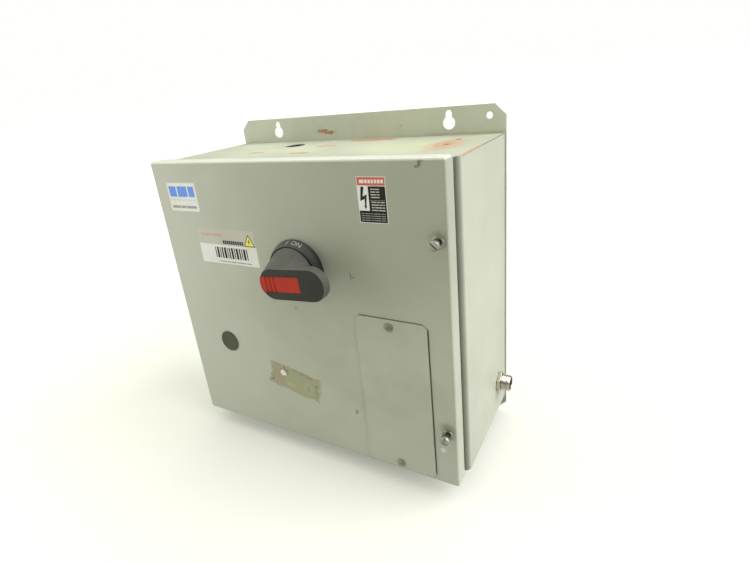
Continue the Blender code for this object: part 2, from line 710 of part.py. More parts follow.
# ---------------------------------------------------------------- handle


def make_bezel():
    """A domed ring on the door. The knob turns in its recess."""
    inner = KNOB_RADIUS + 2 * GAP
    bore = SOCKET_RADIUS + 2 * GAP
    profile = [
        (inner, BEZEL_HEIGHT), (inner + 1.2 * MM, BEZEL_HEIGHT),
        (BEZEL_RADIUS - 3.0 * MM, BEZEL_HEIGHT - 2.6 * MM),
        (BEZEL_RADIUS - 1.0 * MM, BEZEL_HEIGHT - 6.2 * MM), (BEZEL_RADIUS, 2.5 * MM),
        (BEZEL_RADIUS, GAP), (bore, GAP), (bore, BEZEL_FLOOR), (inner, BEZEL_FLOOR)]
    at = from_hinge(HANDLE_X, DOOR_FRONT, HANDLE_Z)
    turned("handle_bezel", profile, "black_plastic", at, FRONT_VIEW, DOOR, FINE, closed=True)


def grip_prism(bm, left, right, radius, bottom, top, edge):
    """A stadium-shaped block with rounded front edges."""
    outline = [bm.verts.new((x, y, bottom)) for x, y in stadium(left, right, radius)]
    made = bmesh.ops.extrude_face_region(bm, geom=[bm.faces.new(outline)])["geom"]
    lid = [item for item in made if isinstance(item, bmesh.types.BMVert)]
    bmesh.ops.translate(bm, verts=lid, vec=(0.0, 0.0, top - bottom))
    bmesh.ops.recalc_face_normals(bm, faces=bm.faces)
    bm.normal_update()
    rims = [e for e in bm.edges if all(abs(v.co.z - top) < GAP for v in e.verts)]
    bmesh.ops.bevel(
        bm, geom=rims, offset=edge, offset_type="OFFSET", segments=2, profile=0.5,
        affect="EDGES", material=-1)


def make_knob():
    """A boss that narrows from the bezel's circle into the nose of a long flat grip."""
    bm = bmesh.new()
    for height in (BEZEL_FLOOR + GAP, KNOB_SEAM):
        bmesh.ops.create_circle(
            bm, segments=FINE, radius=KNOB_RADIUS, matrix=Matrix.Translation((0, 0, height)))
    edge = 2.5 * MM
    crown = KNOB_FRONT - edge
    for x, y in stadium(GRIP_NOSE, HULL_TAIL, GRIP_RADIUS, 8):
        bm.verts.new((x, y, crown))
    bmesh.ops.convex_hull(bm, input=bm.verts)
    loose = [vert for vert in bm.verts if not vert.link_faces]
    bmesh.ops.delete(bm, geom=loose, context="VERTS")
    bmesh.ops.recalc_face_normals(bm, faces=bm.faces)
    knob = solid("handle_knob", bm, "black_plastic", (0.0, 0.0, 0.0), frame=HANDLE)

    bm = bmesh.new()
    floor = KNOB_FRONT - GRIP_THICKNESS
    grow = 0.05 * MM
    grip_prism(bm, GRIP_NOSE - grow, GRIP_TAIL, GRIP_RADIUS + grow, floor, KNOB_FRONT, edge)
    combine(knob, cutter("grip_block", bm, (0.0, 0.0, 0.0), frame=HANDLE), "UNION")

    bm = bmesh.new()
    add_box(bm, (2 * GRIP_NOSE, -SLIDE_HALF_HEIGHT - GAP, KNOB_FRONT - SLIDE_DEPTH - GAP),
            (SLIDE_RIGHT + GAP, SLIDE_HALF_HEIGHT + GAP, KNOB_FRONT + MM))
    combine(knob, cutter("slide_slot", bm, (0.0, 0.0, 0.0), frame=HANDLE), "DIFFERENCE")


def make_padlock_slide():
    """The red slide in the grip. It draws out past the nose to take a padlock."""
    half = SLIDE_HALF_HEIGHT
    spread = math.degrees(math.asin(half / GRIP_RADIUS))
    centre = (GRIP_NOSE + GRIP_RADIUS, 0.0)
    outline = arc(centre, GRIP_RADIUS, 180.0 - spread, 180.0 + spread, 6)
    outline += [(SLIDE_RIGHT, -half), (SLIDE_RIGHT, half)]
    slide = flat_plate(
        "padlock_slide", [outline], SLIDE_DEPTH, "red_plastic", (0.0, 0.0, KNOB_FRONT - SLIDE_DEPTH),
        frame=HANDLE)
    slide.parent = new_frame("padlock_slide_axis", (0.0, 0.0, 0.0), frame=HANDLE)
    bm = bmesh.new()
    for step in range(GROOVES):
        left = GRIP_NOSE + GROOVE_START + step * GROOVE_PITCH
        add_box(bm, (left, -GRIP_RADIUS, KNOB_FRONT - GROOVE_DEPTH),
                (left + GROOVE_WIDTH, GRIP_RADIUS, KNOB_FRONT + MM))
    combine(slide, cutter("slide_grooves", bm, (0.0, 0.0, 0.0), frame=HANDLE), "DIFFERENCE")


def make_socket():
    """The hub behind the knob, with the square socket that drives the shaft."""
    bm = bmesh.new()
    add_cylinder(bm, SOCKET_RADIUS, SOCKET_END, BEZEL_FLOOR, segments=24)
    socket = solid("handle_socket", bm, "dark_moulding", (0.0, 0.0, 0.0), frame=HANDLE)
    bm = bmesh.new()
    half = SOCKET_BORE / 2
    add_box(bm, (-half, -half, SOCKET_END - MM), (half, half, SOCKET_END + SOCKET_BORE_DEPTH))
    combine(socket, cutter("socket_bore", bm, (0.0, 0.0, 0.0), frame=HANDLE), "DIFFERENCE")


# ---------------------------------------------------------------- receptacle


def make_receptacle():
    at = (BODY_WIDTH / 2, RECEPTACLE_Y, RECEPTACLE_Z)
    radius = RECEPTACLE_RADIUS
    inner = radius - RECEPTACLE_WALL
    wide = radius + RECEPTACLE_WALL
    tail = radius - 2 * MM
    inside = -BODY_SHEET - GAP
    shell = [
        (0.0, RECEPTACLE_FLOOR), (inner, RECEPTACLE_FLOOR), (inner, RECEPTACLE_REACH),
        (radius - MM, RECEPTACLE_REACH), (radius, RECEPTACLE_REACH - MM), (radius, inside),
        (wide, inside), (wide, inside - RECEPTACLE_FLANGE), (tail, inside - RECEPTACLE_FLANGE),
        (tail, RECEPTACLE_TAIL), (0.0, RECEPTACLE_TAIL)]
    turned("receptacle_shell", shell, "nickel", at, SIDE_VIEW, steps=24)
    corner = RECEPTACLE_ACROSS_FLATS / 2 / math.cos(math.pi / 6)
    loops = [circle((0.0, 0.0), corner, 6), circle((0.0, 0.0), radius + GAP, 24)]
    nut_at = (BODY_WIDTH / 2 + GAP, RECEPTACLE_Y, RECEPTACLE_Z)
    flat_plate("receptacle_nut", loops, RECEPTACLE_NUT, "nickel", nut_at, SIDE_VIEW)


# ---------------------------------------------------------------- switch and fuses


def make_switch_base():
    """The moulded base: three bays for the contacts and a shelf for the line lugs."""
    half = SWITCH_WIDTH / 2
    bm = bmesh.new()
    add_box(bm, (-half, BASE_FRONT, BASE_BOTTOM), (half, SWITCH_BACK, BASE_TOP))
    base = solid("switch_base", bm, "dark_moulding", (HANDLE_X, 0.0, 0.0))
    slot = STRAP_WIDTH / 2 + 1.5 * MM
    front = BASE_FRONT - OVERCUT
    bm = bmesh.new()
    add_box(bm, (-half - OVERCUT, front, BASE_SHELF),
            (half + OVERCUT, BASE_FLOOR, BASE_TOP + OVERCUT))
    combine(base, cutter("base_shelf", bm, (HANDLE_X, 0.0, 0.0)), "DIFFERENCE")
    for number, pole in enumerate(POLES, 1):
        bm = bmesh.new()
        add_box(bm, (-BAY_HALF_WIDTH, front, BASE_BOTTOM + BAY_WALL),
                (BAY_HALF_WIDTH, BASE_FLOOR, BASE_SHELF - BAY_WALL))
        combine(base, cutter(f"base_bay_{number}", bm, (pole, 0.0, 0.0)), "DIFFERENCE")
        bm = bmesh.new()
        add_box(bm, (-slot, front, BASE_BOTTOM - OVERCUT), (slot, BASE_FLOOR, BASE_TOP))
        combine(base, cutter(f"base_slot_{number}", bm, (pole, 0.0, 0.0)), "DIFFERENCE")


def make_switch_cover():
    """The front shell of the switch, open behind, with a hole for the cam's hub."""
    half = SWITCH_WIDTH / 2
    back = BASE_FRONT - GAP
    bm = bmesh.new()
    add_box(bm, (-half, COVER_FRONT, BASE_BOTTOM), (half, back, BASE_SHELF - GAP))
    bm.normal_update()
    open_side = [face for face in bm.faces if face.normal.y > 0.5]
    bmesh.ops.delete(bm, geom=open_side, context="FACES_ONLY")
    cover = solid("switch_cover", bm, "dark_moulding", (HANDLE_X, 0.0, 0.0))
    thicken(cover, COVER_WALL, -1.0)
    bm = bmesh.new()
    add_cylinder(bm, COVER_HOLE_RADIUS, -COVER_WALL * 2, COVER_WALL * 2, segments=24)
    hole = cutter("cover_hole", bm, (HANDLE_X, COVER_FRONT, HANDLE_Z), FRONT_VIEW)
    combine(cover, hole, "DIFFERENCE")


def make_shaft_and_cam():
    """The square shaft, and the cam that it turns to press the contacts home."""
    half = SHAFT_WIDTH / 2
    bm = bmesh.new()
    add_box(bm, (-half, -half, -SHAFT_ROOT), (half, half, -SHAFT_TIP))
    solid("operating_shaft", bm, "steel", (0.0, 0.0, 0.0), frame=SHAFT)
    disc_front = CAM_REAR + CAM_DISC
    profile = [
        (0.0, CAM_HUB_FRONT), (CAM_HUB_RADIUS, CAM_HUB_FRONT), (CAM_HUB_RADIUS, disc_front),
        (CAM_RADIUS, disc_front), (CAM_RADIUS, CAM_REAR), (0.0, CAM_REAR)]
    cam = turned("drive_cam", profile, "grey_moulding", (0.0, 0.0, 0.0), frame=SHAFT, steps=24)
    bm = bmesh.new()
    bore = half + GAP
    add_box(bm, (-bore, -bore, -SHAFT_ROOT - GAP), (bore, bore, CAM_HUB_FRONT + MM))
    combine(cam, cutter("cam_bore", bm, (0.0, 0.0, 0.0), frame=SHAFT), "DIFFERENCE")


def make_carrier():
    """The bar that carries the three bridge contacts to and from the fixed contacts."""
    frame = new_frame("contact_carrier_axis", (HANDLE_X, STRAP_FRONT, HANDLE_Z))
    half = SWITCH_WIDTH / 2 - COVER_WALL - BAY_WALL
    bridge_back = -BUTTON_HEIGHT - GAP - CONTACT_TRAVEL
    bridge_front = bridge_back - BRIDGE_SHEET
    bar_back = bridge_front - POST_LENGTH
    bm = bmesh.new()
    add_box(bm, (-half, bar_back - BAR_DEPTH, -BAR_HALF_HEIGHT),
            (half, bar_back, BAR_HALF_HEIGHT))
    carrier = solid("contact_carrier", bm, "grey_moulding", (0.0, 0.0, 0.0), frame=frame)
    for number, pole in enumerate(POLES, 1):
        centre = pole - HANDLE_X
        bm = bmesh.new()
        add_box(bm, (-POST_HALF[0], bar_back - MM, -POST_HALF[1]),
                (POST_HALF[0], bridge_front - GAP, POST_HALF[1]))
        post = cutter(f"carrier_post_{number}", bm, (centre, 0.0, 0.0), frame=frame)
        combine(carrier, post, "UNION")
        bm = bmesh.new()
        add_box(bm, (-BRIDGE_HALF_WIDTH, bridge_front, -BRIDGE_LENGTH / 2),
                (BRIDGE_HALF_WIDTH, bridge_back, BRIDGE_LENGTH / 2))
        solid(f"bridge_contact_{number}", bm, "copper", (centre, 0.0, 0.0), frame=frame)


def strap_box(bottom, top, front=STRAP_FRONT):
    """A flat strap on the floor of a pole, or a button standing on it."""
    half = STRAP_WIDTH / 2
    bm = bmesh.new()
    add_box(bm, (-half, front, bottom), (half, BASE_FLOOR - GAP, top))
    return bm


def clip_shape(name, centre):
    """A spring clip: a U round one ferrule of a fuse, at that height in its own mesh."""
    arm = FUSE_RADIUS + GAP + CLIP_SHEET / 2
    floor = STRAP_FRONT
    path = [(-arm, CLIP_TIP), (-arm, floor), (arm, floor), (arm, CLIP_TIP)]
    clip = folded_sheet(name, path, CLIP_WIDTH, CLIP_SHEET, "copper", (0.0, 0.0, 0.0))
    clip.data.transform(Matrix.Translation((0.0, 0.0, centre)))
    return clip


def make_contacts():
    """Line contacts, load contacts with the upper fuse clips, and the lower clips."""
    button = BUTTON_LENGTH
    button_front = STRAP_FRONT - BUTTON_HEIGHT
    reach = BRIDGE_LENGTH / 2 + 2 * MM
    line_foot = HANDLE_Z + reach - button
    load_head = HANDLE_Z - reach + button
    ferrule = FUSE_LENGTH / 2 - FERRULE / 2
    clip_half = CLIP_WIDTH / 2

    line_strap = strap_box(line_foot, LINE_LUG_Z + LINE_STRAP_END)
    line = solid("line_pattern", line_strap, "copper", (0, 0, 0))
    pad = cutter("line_button", strap_box(line_foot, line_foot + button, button_front), (0, 0, 0))
    combine(line, pad, "UNION")
    line_mesh = shared_mesh(line)

    load = clip_shape("load_pattern", FUSE_Z + ferrule)
    load_strap = strap_box(FUSE_Z + ferrule - clip_half, load_head)
    pad = cutter("load_button", strap_box(load_head - button, load_head, button_front), (0, 0, 0))
    combine(load, cutter("load_strap", load_strap, (0, 0, 0)), "UNION")
    combine(load, pad, "UNION")
    load_mesh = shared_mesh(load)

    clip = clip_shape("clip_pattern", FUSE_Z - ferrule)
    foot = strap_box(LOAD_LUG_Z - LOAD_STRAP_END, FUSE_Z - ferrule + clip_half)
    combine(clip, cutter("clip_strap", foot, (0, 0, 0)), "UNION")
    clip_mesh = shared_mesh(clip)

    for number, pole in enumerate(POLES, 1):
        link_mesh(f"line_contact_{number}", line_mesh, "copper", (pole, 0, 0), (0, 0, 0), None)
        link_mesh(f"load_contact_{number}", load_mesh, "copper", (pole, 0, 0), (0, 0, 0), None)
        link_mesh(f"lower_clip_{number}", clip_mesh, "copper", (pole, 0, 0), (0, 0, 0), None)


def make_lugs():
    """Box lugs: a block with a hole for the wire and a clamping screw in front."""
    half = LUG_SIZE / 2
    bm = bmesh.new()
    add_box(bm, (-half, -half, 0.0), (half, half, LUG_SIZE))
    lug = solid("lug_pattern", bm, "aluminium", (0.0, 0.0, 0.0), FRONT_VIEW)
    bm = bmesh.new()
    add_cylinder(bm, LUG_BORE, -LUG_SIZE, LUG_SIZE, segments=16)
    wire = cutter("lug_wire_hole", bm, (0.0, -LUG_BORE_HEIGHT, 0.0))
    bm = bmesh.new()
    add_cylinder(bm, LUG_BORE, LUG_SIZE - MM, LUG_SIZE + LUG_SCREW_HEAD, segments=12)
    combine(lug, cutter("lug_screw", bm, (0.0, 0.0, 0.0), FRONT_VIEW), "UNION")
    combine(lug, wire, "DIFFERENCE")
    mesh = shared_mesh(lug)
    seat = STRAP_FRONT - CLIP_SHEET / 2
    for number, pole in enumerate(POLES, 1):
        for name, height in (("line_lug", LINE_LUG_Z), ("load_lug", LOAD_LUG_Z)):
            at = (pole, seat, height)
            link_mesh(f"{name}_{number}", mesh, "aluminium", at, FRONT_VIEW, None)
    at = (GROUND_LUG[0], SWITCH_BACK, GROUND_LUG[1])
    link_mesh("ground_lug", mesh, "aluminium", at, FRONT_VIEW, None)


def make_fuse_block():
    """The moulded fuse base, with ribs between the poles."""
    half = SWITCH_WIDTH / 2
    bm = bmesh.new()
    add_box(bm, (-half, BLOCK_FRONT, BLOCK_BOTTOM), (half, SWITCH_BACK, BASE_BOTTOM - GAP))
    block = solid("fuse_block", bm, "dark_moulding", (HANDLE_X, 0.0, 0.0))
    for number, pole in enumerate(POLES, 1):
        bm = bmesh.new()
        add_box(bm, (-CHANNEL_WIDTH / 2, BLOCK_FRONT - OVERCUT, BLOCK_BOTTOM - OVERCUT),
                (CHANNEL_WIDTH / 2, BASE_FLOOR, BASE_BOTTOM + OVERCUT))
        combine(block, cutter(f"fuse_channel_{number}", bm, (pole, 0.0, 0.0)), "DIFFERENCE")


def make_fuses():
    half = FUSE_LENGTH / 2
    edge = MM
    tube = FUSE_RADIUS - 0.7 * MM
    middle = half - FERRULE
    upper = [
        (0.0, half), (FUSE_RADIUS - edge, half), (FUSE_RADIUS, half - edge),
        (FUSE_RADIUS, middle), (tube, middle)]
    profile = upper + [(radius, -height) for radius, height in reversed(upper)]
    centre_y = STRAP_FRONT - CLIP_SHEET / 2 - GAP - FUSE_RADIUS
    for number, pole in enumerate(POLES, 1):
        turned(f"fuse_{number}", profile, "fuse_paper", (pole, centre_y, FUSE_Z))


def make_line_shield():
    """A clear guard over the line lugs, which stay live when the switch is off."""
    half = SWITCH_WIDTH / 2 + GAP + SHIELD_SHEET / 2
    front = SHIELD_FRONT + SHIELD_SHEET / 2
    path = [(-half, SHIELD_BACK), (-half, front), (half, front), (half, SHIELD_BACK)]
    middle = sum(SHIELD_Z) / 2
    length = SHIELD_Z[1] - SHIELD_Z[0]
    at = (HANDLE_X, 0.0, middle)
    folded_sheet("line_shield", path, length, SHIELD_SHEET, "clear_plastic", at)


clear_scene()
PARTS = new_collection("fused_disconnect_switch")
CUTTERS = new_collection("cutters", is_helper=True)
MATERIALS = {name: new_look(name) for name in LOOKS}

DOOR = new_frame("door_axis", (HINGE_X, HINGE_Y, 0.0))
HANDLE = new_frame(
    "handle_axis", from_hinge(HANDLE_X, DOOR_FRONT, HANDLE_Z), (math.pi / 2, HANDLE_TILT, 0.0), DOOR)
SHAFT = new_frame("shaft_axis", (HANDLE_X, 0.0, HANDLE_Z), (math.pi / 2, HANDLE_TILT, 0.0))

make_back_panel()
make_body_sheets()
make_front_rim()
make_mounting_pan()
for which_hinge, hinge_height in HINGE_HEIGHTS.items():
    make_hinge(which_hinge, hinge_height)
make_door_panel()
make_door_gasket()
make_cover_plate()
for which_screw, (screw_height, screw_angle) in CAPTIVE.items():
    make_captive_screw(which_screw, screw_height, screw_angle)
make_hole_plug()
make_bezel()
make_knob()
make_padlock_slide()
make_socket()
make_receptacle()
make_switch_base()
make_switch_cover()
make_shaft_and_cam()
make_carrier()
make_contacts()
make_lugs()
make_fuse_block()
make_fuses()
make_line_shield()
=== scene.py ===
# %% [markdown]
# # A fused disconnect switch
#
# This notebook dresses a wall-mounted disconnect switch: a grey-green steel box with a hinged
# door, a black and red rotary handle and, behind the door, three fuses and their switch. The
# bare model gives every size and says what moves with what. The cells below add the camera,
# the light, the finishes, and finer shapes for the pieces that are looked at closely.

# %% Load the bare model
import json
import math

import bmesh
import bpy
from mathutils import Matrix, Vector


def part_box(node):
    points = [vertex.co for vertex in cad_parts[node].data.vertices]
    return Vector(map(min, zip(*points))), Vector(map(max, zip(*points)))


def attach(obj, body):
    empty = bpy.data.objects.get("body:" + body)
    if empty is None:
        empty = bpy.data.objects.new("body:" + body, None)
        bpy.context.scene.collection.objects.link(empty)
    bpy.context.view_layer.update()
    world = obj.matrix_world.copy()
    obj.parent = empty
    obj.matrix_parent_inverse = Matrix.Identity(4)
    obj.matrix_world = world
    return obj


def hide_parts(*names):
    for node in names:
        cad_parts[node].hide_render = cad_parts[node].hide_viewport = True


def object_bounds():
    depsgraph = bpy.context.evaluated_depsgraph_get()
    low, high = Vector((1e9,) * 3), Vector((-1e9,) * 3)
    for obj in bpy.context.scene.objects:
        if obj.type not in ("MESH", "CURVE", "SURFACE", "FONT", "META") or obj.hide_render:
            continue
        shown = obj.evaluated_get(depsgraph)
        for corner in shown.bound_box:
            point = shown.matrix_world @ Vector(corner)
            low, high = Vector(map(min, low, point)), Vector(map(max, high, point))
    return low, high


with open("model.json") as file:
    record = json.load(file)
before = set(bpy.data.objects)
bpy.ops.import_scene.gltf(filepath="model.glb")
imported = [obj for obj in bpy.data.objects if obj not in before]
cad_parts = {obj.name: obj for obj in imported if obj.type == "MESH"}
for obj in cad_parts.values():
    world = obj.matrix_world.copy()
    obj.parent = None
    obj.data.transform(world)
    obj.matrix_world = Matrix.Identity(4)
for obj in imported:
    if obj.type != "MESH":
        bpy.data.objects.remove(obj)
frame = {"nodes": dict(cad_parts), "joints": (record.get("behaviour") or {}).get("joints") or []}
bare_low, bare_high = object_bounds()

MM = 0.001
joints = {joint["name"]: joint for joint in frame["joints"]}
print("size in mm:", [round(side / MM, 1) for side in bare_high - bare_low])

# %% [markdown]
# ## Camera
#
# The box is seen from a little above and from its right, close enough for the door to
# narrow clearly towards its far side. A short lens gives that. The camera leans slightly, so
# its turn is made of three plain turns: round the box, down towards it, and the lean.

# %% Camera
CAMERA_PLACE = (0.36027, -0.59492, 0.25961)
CAMERA_ROUND = math.radians(31.45)
CAMERA_DOWN = math.radians(20.57)
CAMERA_LEAN = math.radians(-6.12)
SENSOR = 36.0
LENS = 23.035
SHIFT = (0.00885, -0.02436)
NEAREST = 0.01

camera = bpy.data.objects.new("studio_camera", bpy.data.cameras.new("studio_camera"))
camera.data.sensor_width = SENSOR
camera.data.lens = LENS
camera.data.shift_x, camera.data.shift_y = SHIFT
camera.data.clip_start = NEAREST
camera.matrix_world = (
    Matrix.Translation(CAMERA_PLACE)
    @ Matrix.Rotation(CAMERA_ROUND, 4, "Z")
    @ Matrix.Rotation(math.pi / 2 - CAMERA_DOWN, 4, "X")
    @ Matrix.Rotation(CAMERA_LEAN, 4, "Z"))
bpy.context.scene.collection.objects.link(camera)
bpy.context.scene.camera = camera
print("camera is", round((Vector(CAMERA_PLACE) - (bare_low + bare_high) / 2).length, 3), "m away")

# %% [markdown]
# ## Tools for nodes
#
# Every finish is a small network of shader nodes. Short helpers keep the cells readable: one
# adds a node and fills its sockets, some do sums, and the last starts a group whose inputs
# and outputs have names.

# %% Node helpers
def node(tree, kind, sockets=None, **settings):
    """Adds one node. A socket takes a number, a colour or another node's output."""
    made = tree.nodes.new("ShaderNode" + kind)
    for name, value in settings.items():
        setattr(made, name, value)
    for name, value in (sockets or {}).items():
        if isinstance(value, bpy.types.NodeSocket):
            tree.links.new(value, made.inputs[name])
        else:
            made.inputs[name].default_value = value
    return made


def blend(tree, share, first, second):
    """The second colour over the first, by a share from 0 to 1."""
    return node(tree, "Mix", {0: share, 6: first, 7: second}, data_type="RGBA").outputs[2]


def between(tree, value, low, high, to_low=0.0, to_high=1.0):
    """A smooth step: to_low at low and below, to_high at high and above."""
    return node(tree, "MapRange", {0: value, 1: low, 2: high, 3: to_low, 4: to_high},
                interpolation_type="SMOOTHSTEP").outputs[0]


def maths(tree, operation, first, second):
    return node(tree, "Math", {0: first, 1: second}, operation=operation).outputs[0]


def times(tree, first, second):
    return maths(tree, "MULTIPLY", first, second)


def vector_maths(tree, operation, first, second=(0.0, 0.0, 0.0)):
    return node(tree, "VectorMath", {0: first, 1: second}, operation=operation).outputs


def use_group(tree, group, sockets):
    return node(tree, "Group", sockets, node_tree=group).outputs


SOCKETS = {"value": "NodeSocketFloat", "place": "NodeSocketVector", "colour": "NodeSocketColor"}


def new_group(name, inputs, outputs):
    """A shader group. inputs is {name: (kind, value)} and outputs is {name: kind}."""
    tree = bpy.data.node_groups.new(name, "ShaderNodeTree")
    for label, (kind, value) in inputs.items():
        socket = tree.interface.new_socket(label, in_out="INPUT", socket_type=SOCKETS[kind])
        socket.default_value = value
    for label, kind in outputs.items():
        tree.interface.new_socket(label, in_out="OUTPUT", socket_type=SOCKETS[kind])
    ends = tree.nodes.new("NodeGroupInput").outputs
    return tree, ends, tree.nodes.new("NodeGroupOutput").inputs


# %% [markdown]
# ## Shared effects
#
# Four effects turn up in several finishes, so each is one group. *Grain* is the fine texture
# of sprayed paint or moulded plastic, with slow changes of tone. *Patch* is a stain or a mark
# at a known place, with a ragged rim. *Rust* gives oxide its colours. *Edges* finds the edges
# of a box-shaped piece, where hands and tools rub the paint.

# %% Group: grain
SLOW_SHARE, SPECK_SHARE = 0.014, 0.28
GRAIN, ends, out = new_group(
    "Grain", {"Place": ("place", (0, 0, 0)), "Scale": ("value", 900.0)},
    {"Height": "value", "Tone": "value", "Speck": "value"})


def grain_noise(share, **settings):
    scale = ends["Scale"] if share is None else times(GRAIN, ends["Scale"], share)
    return node(GRAIN, "TexNoise", {"Vector": ends["Place"], "Scale": scale, **settings}).outputs[0]


GRAIN.links.new(grain_noise(None, Detail=2.0), out["Height"])
GRAIN.links.new(grain_noise(SLOW_SHARE, Detail=5.0, Roughness=0.62), out["Tone"])
speck = grain_noise(SPECK_SHARE, Detail=3.0, Roughness=0.7)
GRAIN.links.new(between(GRAIN, speck, 0.66, 0.74), out["Speck"])

# %% Group: patch
PATCH, ends, out = new_group(
    "Patch",
    {"Place": ("place", (0, 0, 0)), "Centre": ("place", (0, 0, 0)), "Half": ("place", (1, 1, 1)),
     "Square": ("value", 0.0), "Ragged": ("value", 0.3), "Scale": ("value", 200.0),
     "Soft": ("value", 0.25)},
    {"Mask": "value"})
rim = node(PATCH, "TexNoise", {"Vector": ends["Place"], "Scale": ends["Scale"], "Detail": 4.0})
offset = vector_maths(PATCH, "SUBTRACT", ends["Place"], ends["Centre"])[0]
share = vector_maths(PATCH, "DIVIDE", offset, ends["Half"])[0]
length = vector_maths(PATCH, "LENGTH", share)["Value"]
sides = node(PATCH, "SeparateXYZ", {0: vector_maths(PATCH, "ABSOLUTE", share)[0]}).outputs
widest = maths(PATCH, "MAXIMUM", maths(PATCH, "MAXIMUM", sides[0], sides[1]), sides[2])
reach = node(PATCH, "Mix", {0: ends["Square"], 2: length, 3: widest}).outputs[0]
wobble = times(PATCH, maths(PATCH, "SUBTRACT", rim.outputs["Fac"], 0.5), ends["Ragged"])
rough_reach = maths(PATCH, "ADD", reach, wobble)
inner = maths(PATCH, "SUBTRACT", 1.0, ends["Soft"])
outer = maths(PATCH, "ADD", 1.0, ends["Soft"])
PATCH.links.new(between(PATCH, rough_reach, inner, outer, 1.0, 0.0), out["Mask"])

# %% Group: rust
RUST_SHADES = (
    (0.32, (0.11, 0.045, 0.018, 1)), (0.50, (0.42, 0.19, 0.075, 1)), (0.68, (0.62, 0.36, 0.19, 1)))
RUST, ends, out = new_group(
    "Rust", {"Place": ("place", (0, 0, 0)), "Scale": ("value", 260.0)}, {"Colour": "colour"})
crust = node(RUST, "TexNoise", {"Vector": ends["Place"], "Scale": ends["Scale"], "Detail": 6.0,
                                "Roughness": 0.7})
shades = node(RUST, "ValToRGB", {"Fac": crust.outputs["Fac"]})
shades.color_ramp.elements.new(RUST_SHADES[1][0])
for stop, (position, colour) in zip(shades.color_ramp.elements, RUST_SHADES):
    stop.position, stop.color = position, colour
RUST.links.new(shades.outputs["Color"], out["Colour"])

# %% Group: edges of a box-shaped piece
EDGES, ends, out = new_group(
    "Edges",
    {"Place": ("place", (0, 0, 0)), "Centre": ("place", (0, 0, 0)), "Half": ("place", (1, 1, 1)),
     "Width": ("value", 0.002)},
    {"Mask": "value"})
offset = vector_maths(EDGES, "SUBTRACT", ends["Place"], ends["Centre"])[0]
inset = vector_maths(EDGES, "SUBTRACT", ends["Half"], vector_maths(EDGES, "ABSOLUTE", offset)[0])[0]
sides = node(EDGES, "SeparateXYZ", {0: inset}).outputs
near = [between(EDGES, sides[axis], 0.0, ends["Width"], 1.0, 0.0) for axis in range(3)]
pairs = [times(EDGES, near[a], near[b]) for a, b in ((0, 1), (1, 2), (0, 2))]
corner = maths(EDGES, "MAXIMUM", maths(EDGES, "MAXIMUM", pairs[0], pairs[1]), pairs[2])
ragged = node(EDGES, "TexNoise", {"Vector": ends["Place"], "Scale": 320.0, "Detail": 4.0})
broken = between(EDGES, ragged.outputs["Fac"], 0.42, 0.62)
EDGES.links.new(times(EDGES, corner, broken), out["Mask"])
print("groups:", [group.name for group in bpy.data.node_groups])

# %% [markdown]
# ## Enamelled steel
#
# The sheets are sprayed with a grey-green enamel: a satin film with a faint orange-peel
# ripple, a few specks, and slow changes of tone. Stains and marks are laid over it one by
# one, each at its own place on the object, so the same function paints every sheet. A painted
# picture could hold them too, but it would need each sheet unwrapped.

# %% A finish and its marks
def start_finish(name, roughness, metallic=0.0):
    """A material with its Principled shader and its object coordinates."""
    material = bpy.data.materials.new(name)
    material.use_nodes = True
    tree = material.node_tree
    surface = tree.nodes["Principled BSDF"]
    surface.inputs["Roughness"].default_value = roughness
    surface.inputs["Metallic"].default_value = metallic
    return material, tree, surface, node(tree, "TexCoord").outputs["Object"]


def set_bump(tree, surface, height, depth, strength=0.5):
    bump = node(tree, "Bump", {"Height": height, "Distance": depth, "Strength": strength})
    tree.links.new(bump.outputs["Normal"], surface.inputs["Normal"])


def shade(colour, factor):
    return tuple(channel * factor for channel in colour[:3]) + (1,)


def mark(colour, centre, half, square=0.0, ragged=0.3, scale=200.0, soft=0.25, strength=1.0,
         turn=0.0):
    """A stain or scuff: its colour, its place and half size in metres, and how its rim looks."""
    patch = {"Centre": centre, "Half": half, "Square": square, "Ragged": ragged, "Scale": scale,
             "Soft": soft}
    return {"colour": colour, "patch": patch, "strength": strength, "turn": turn}


def cover(tree, place, spot):
    """How far a mark covers each point."""
    if spot["turn"]:
        place = node(tree, "VectorRotate", {
            "Vector": place, "Center": spot["patch"]["Centre"], "Angle": spot["turn"]},
            rotation_type="Y_AXIS").outputs[0]
    mask = use_group(tree, PATCH, {"Place": place, **spot["patch"]})["Mask"]
    return times(tree, mask, spot["strength"])


def lay_marks(tree, skin, place, marks):
    """Lays marks over a colour, one after another."""
    for spot in marks:
        skin = blend(tree, cover(tree, place, spot), skin, spot["colour"])
    return skin


# %% Enamel
ENAMEL = (0.405, 0.425, 0.320, 1)
ENAMEL_SHINE = (0.36, 0.48)
ENAMEL_GRAIN, RUST_GRAIN = 900.0, 300.0
LIGHTER, DARKER, SPECKED = 1.07, 0.93, 0.6
EDGE_WIDTH, EDGE_WEAR = 1.6 * MM, 0.35
PEEL_DEPTH, PEEL_STRENGTH = 0.05 * MM, 0.35


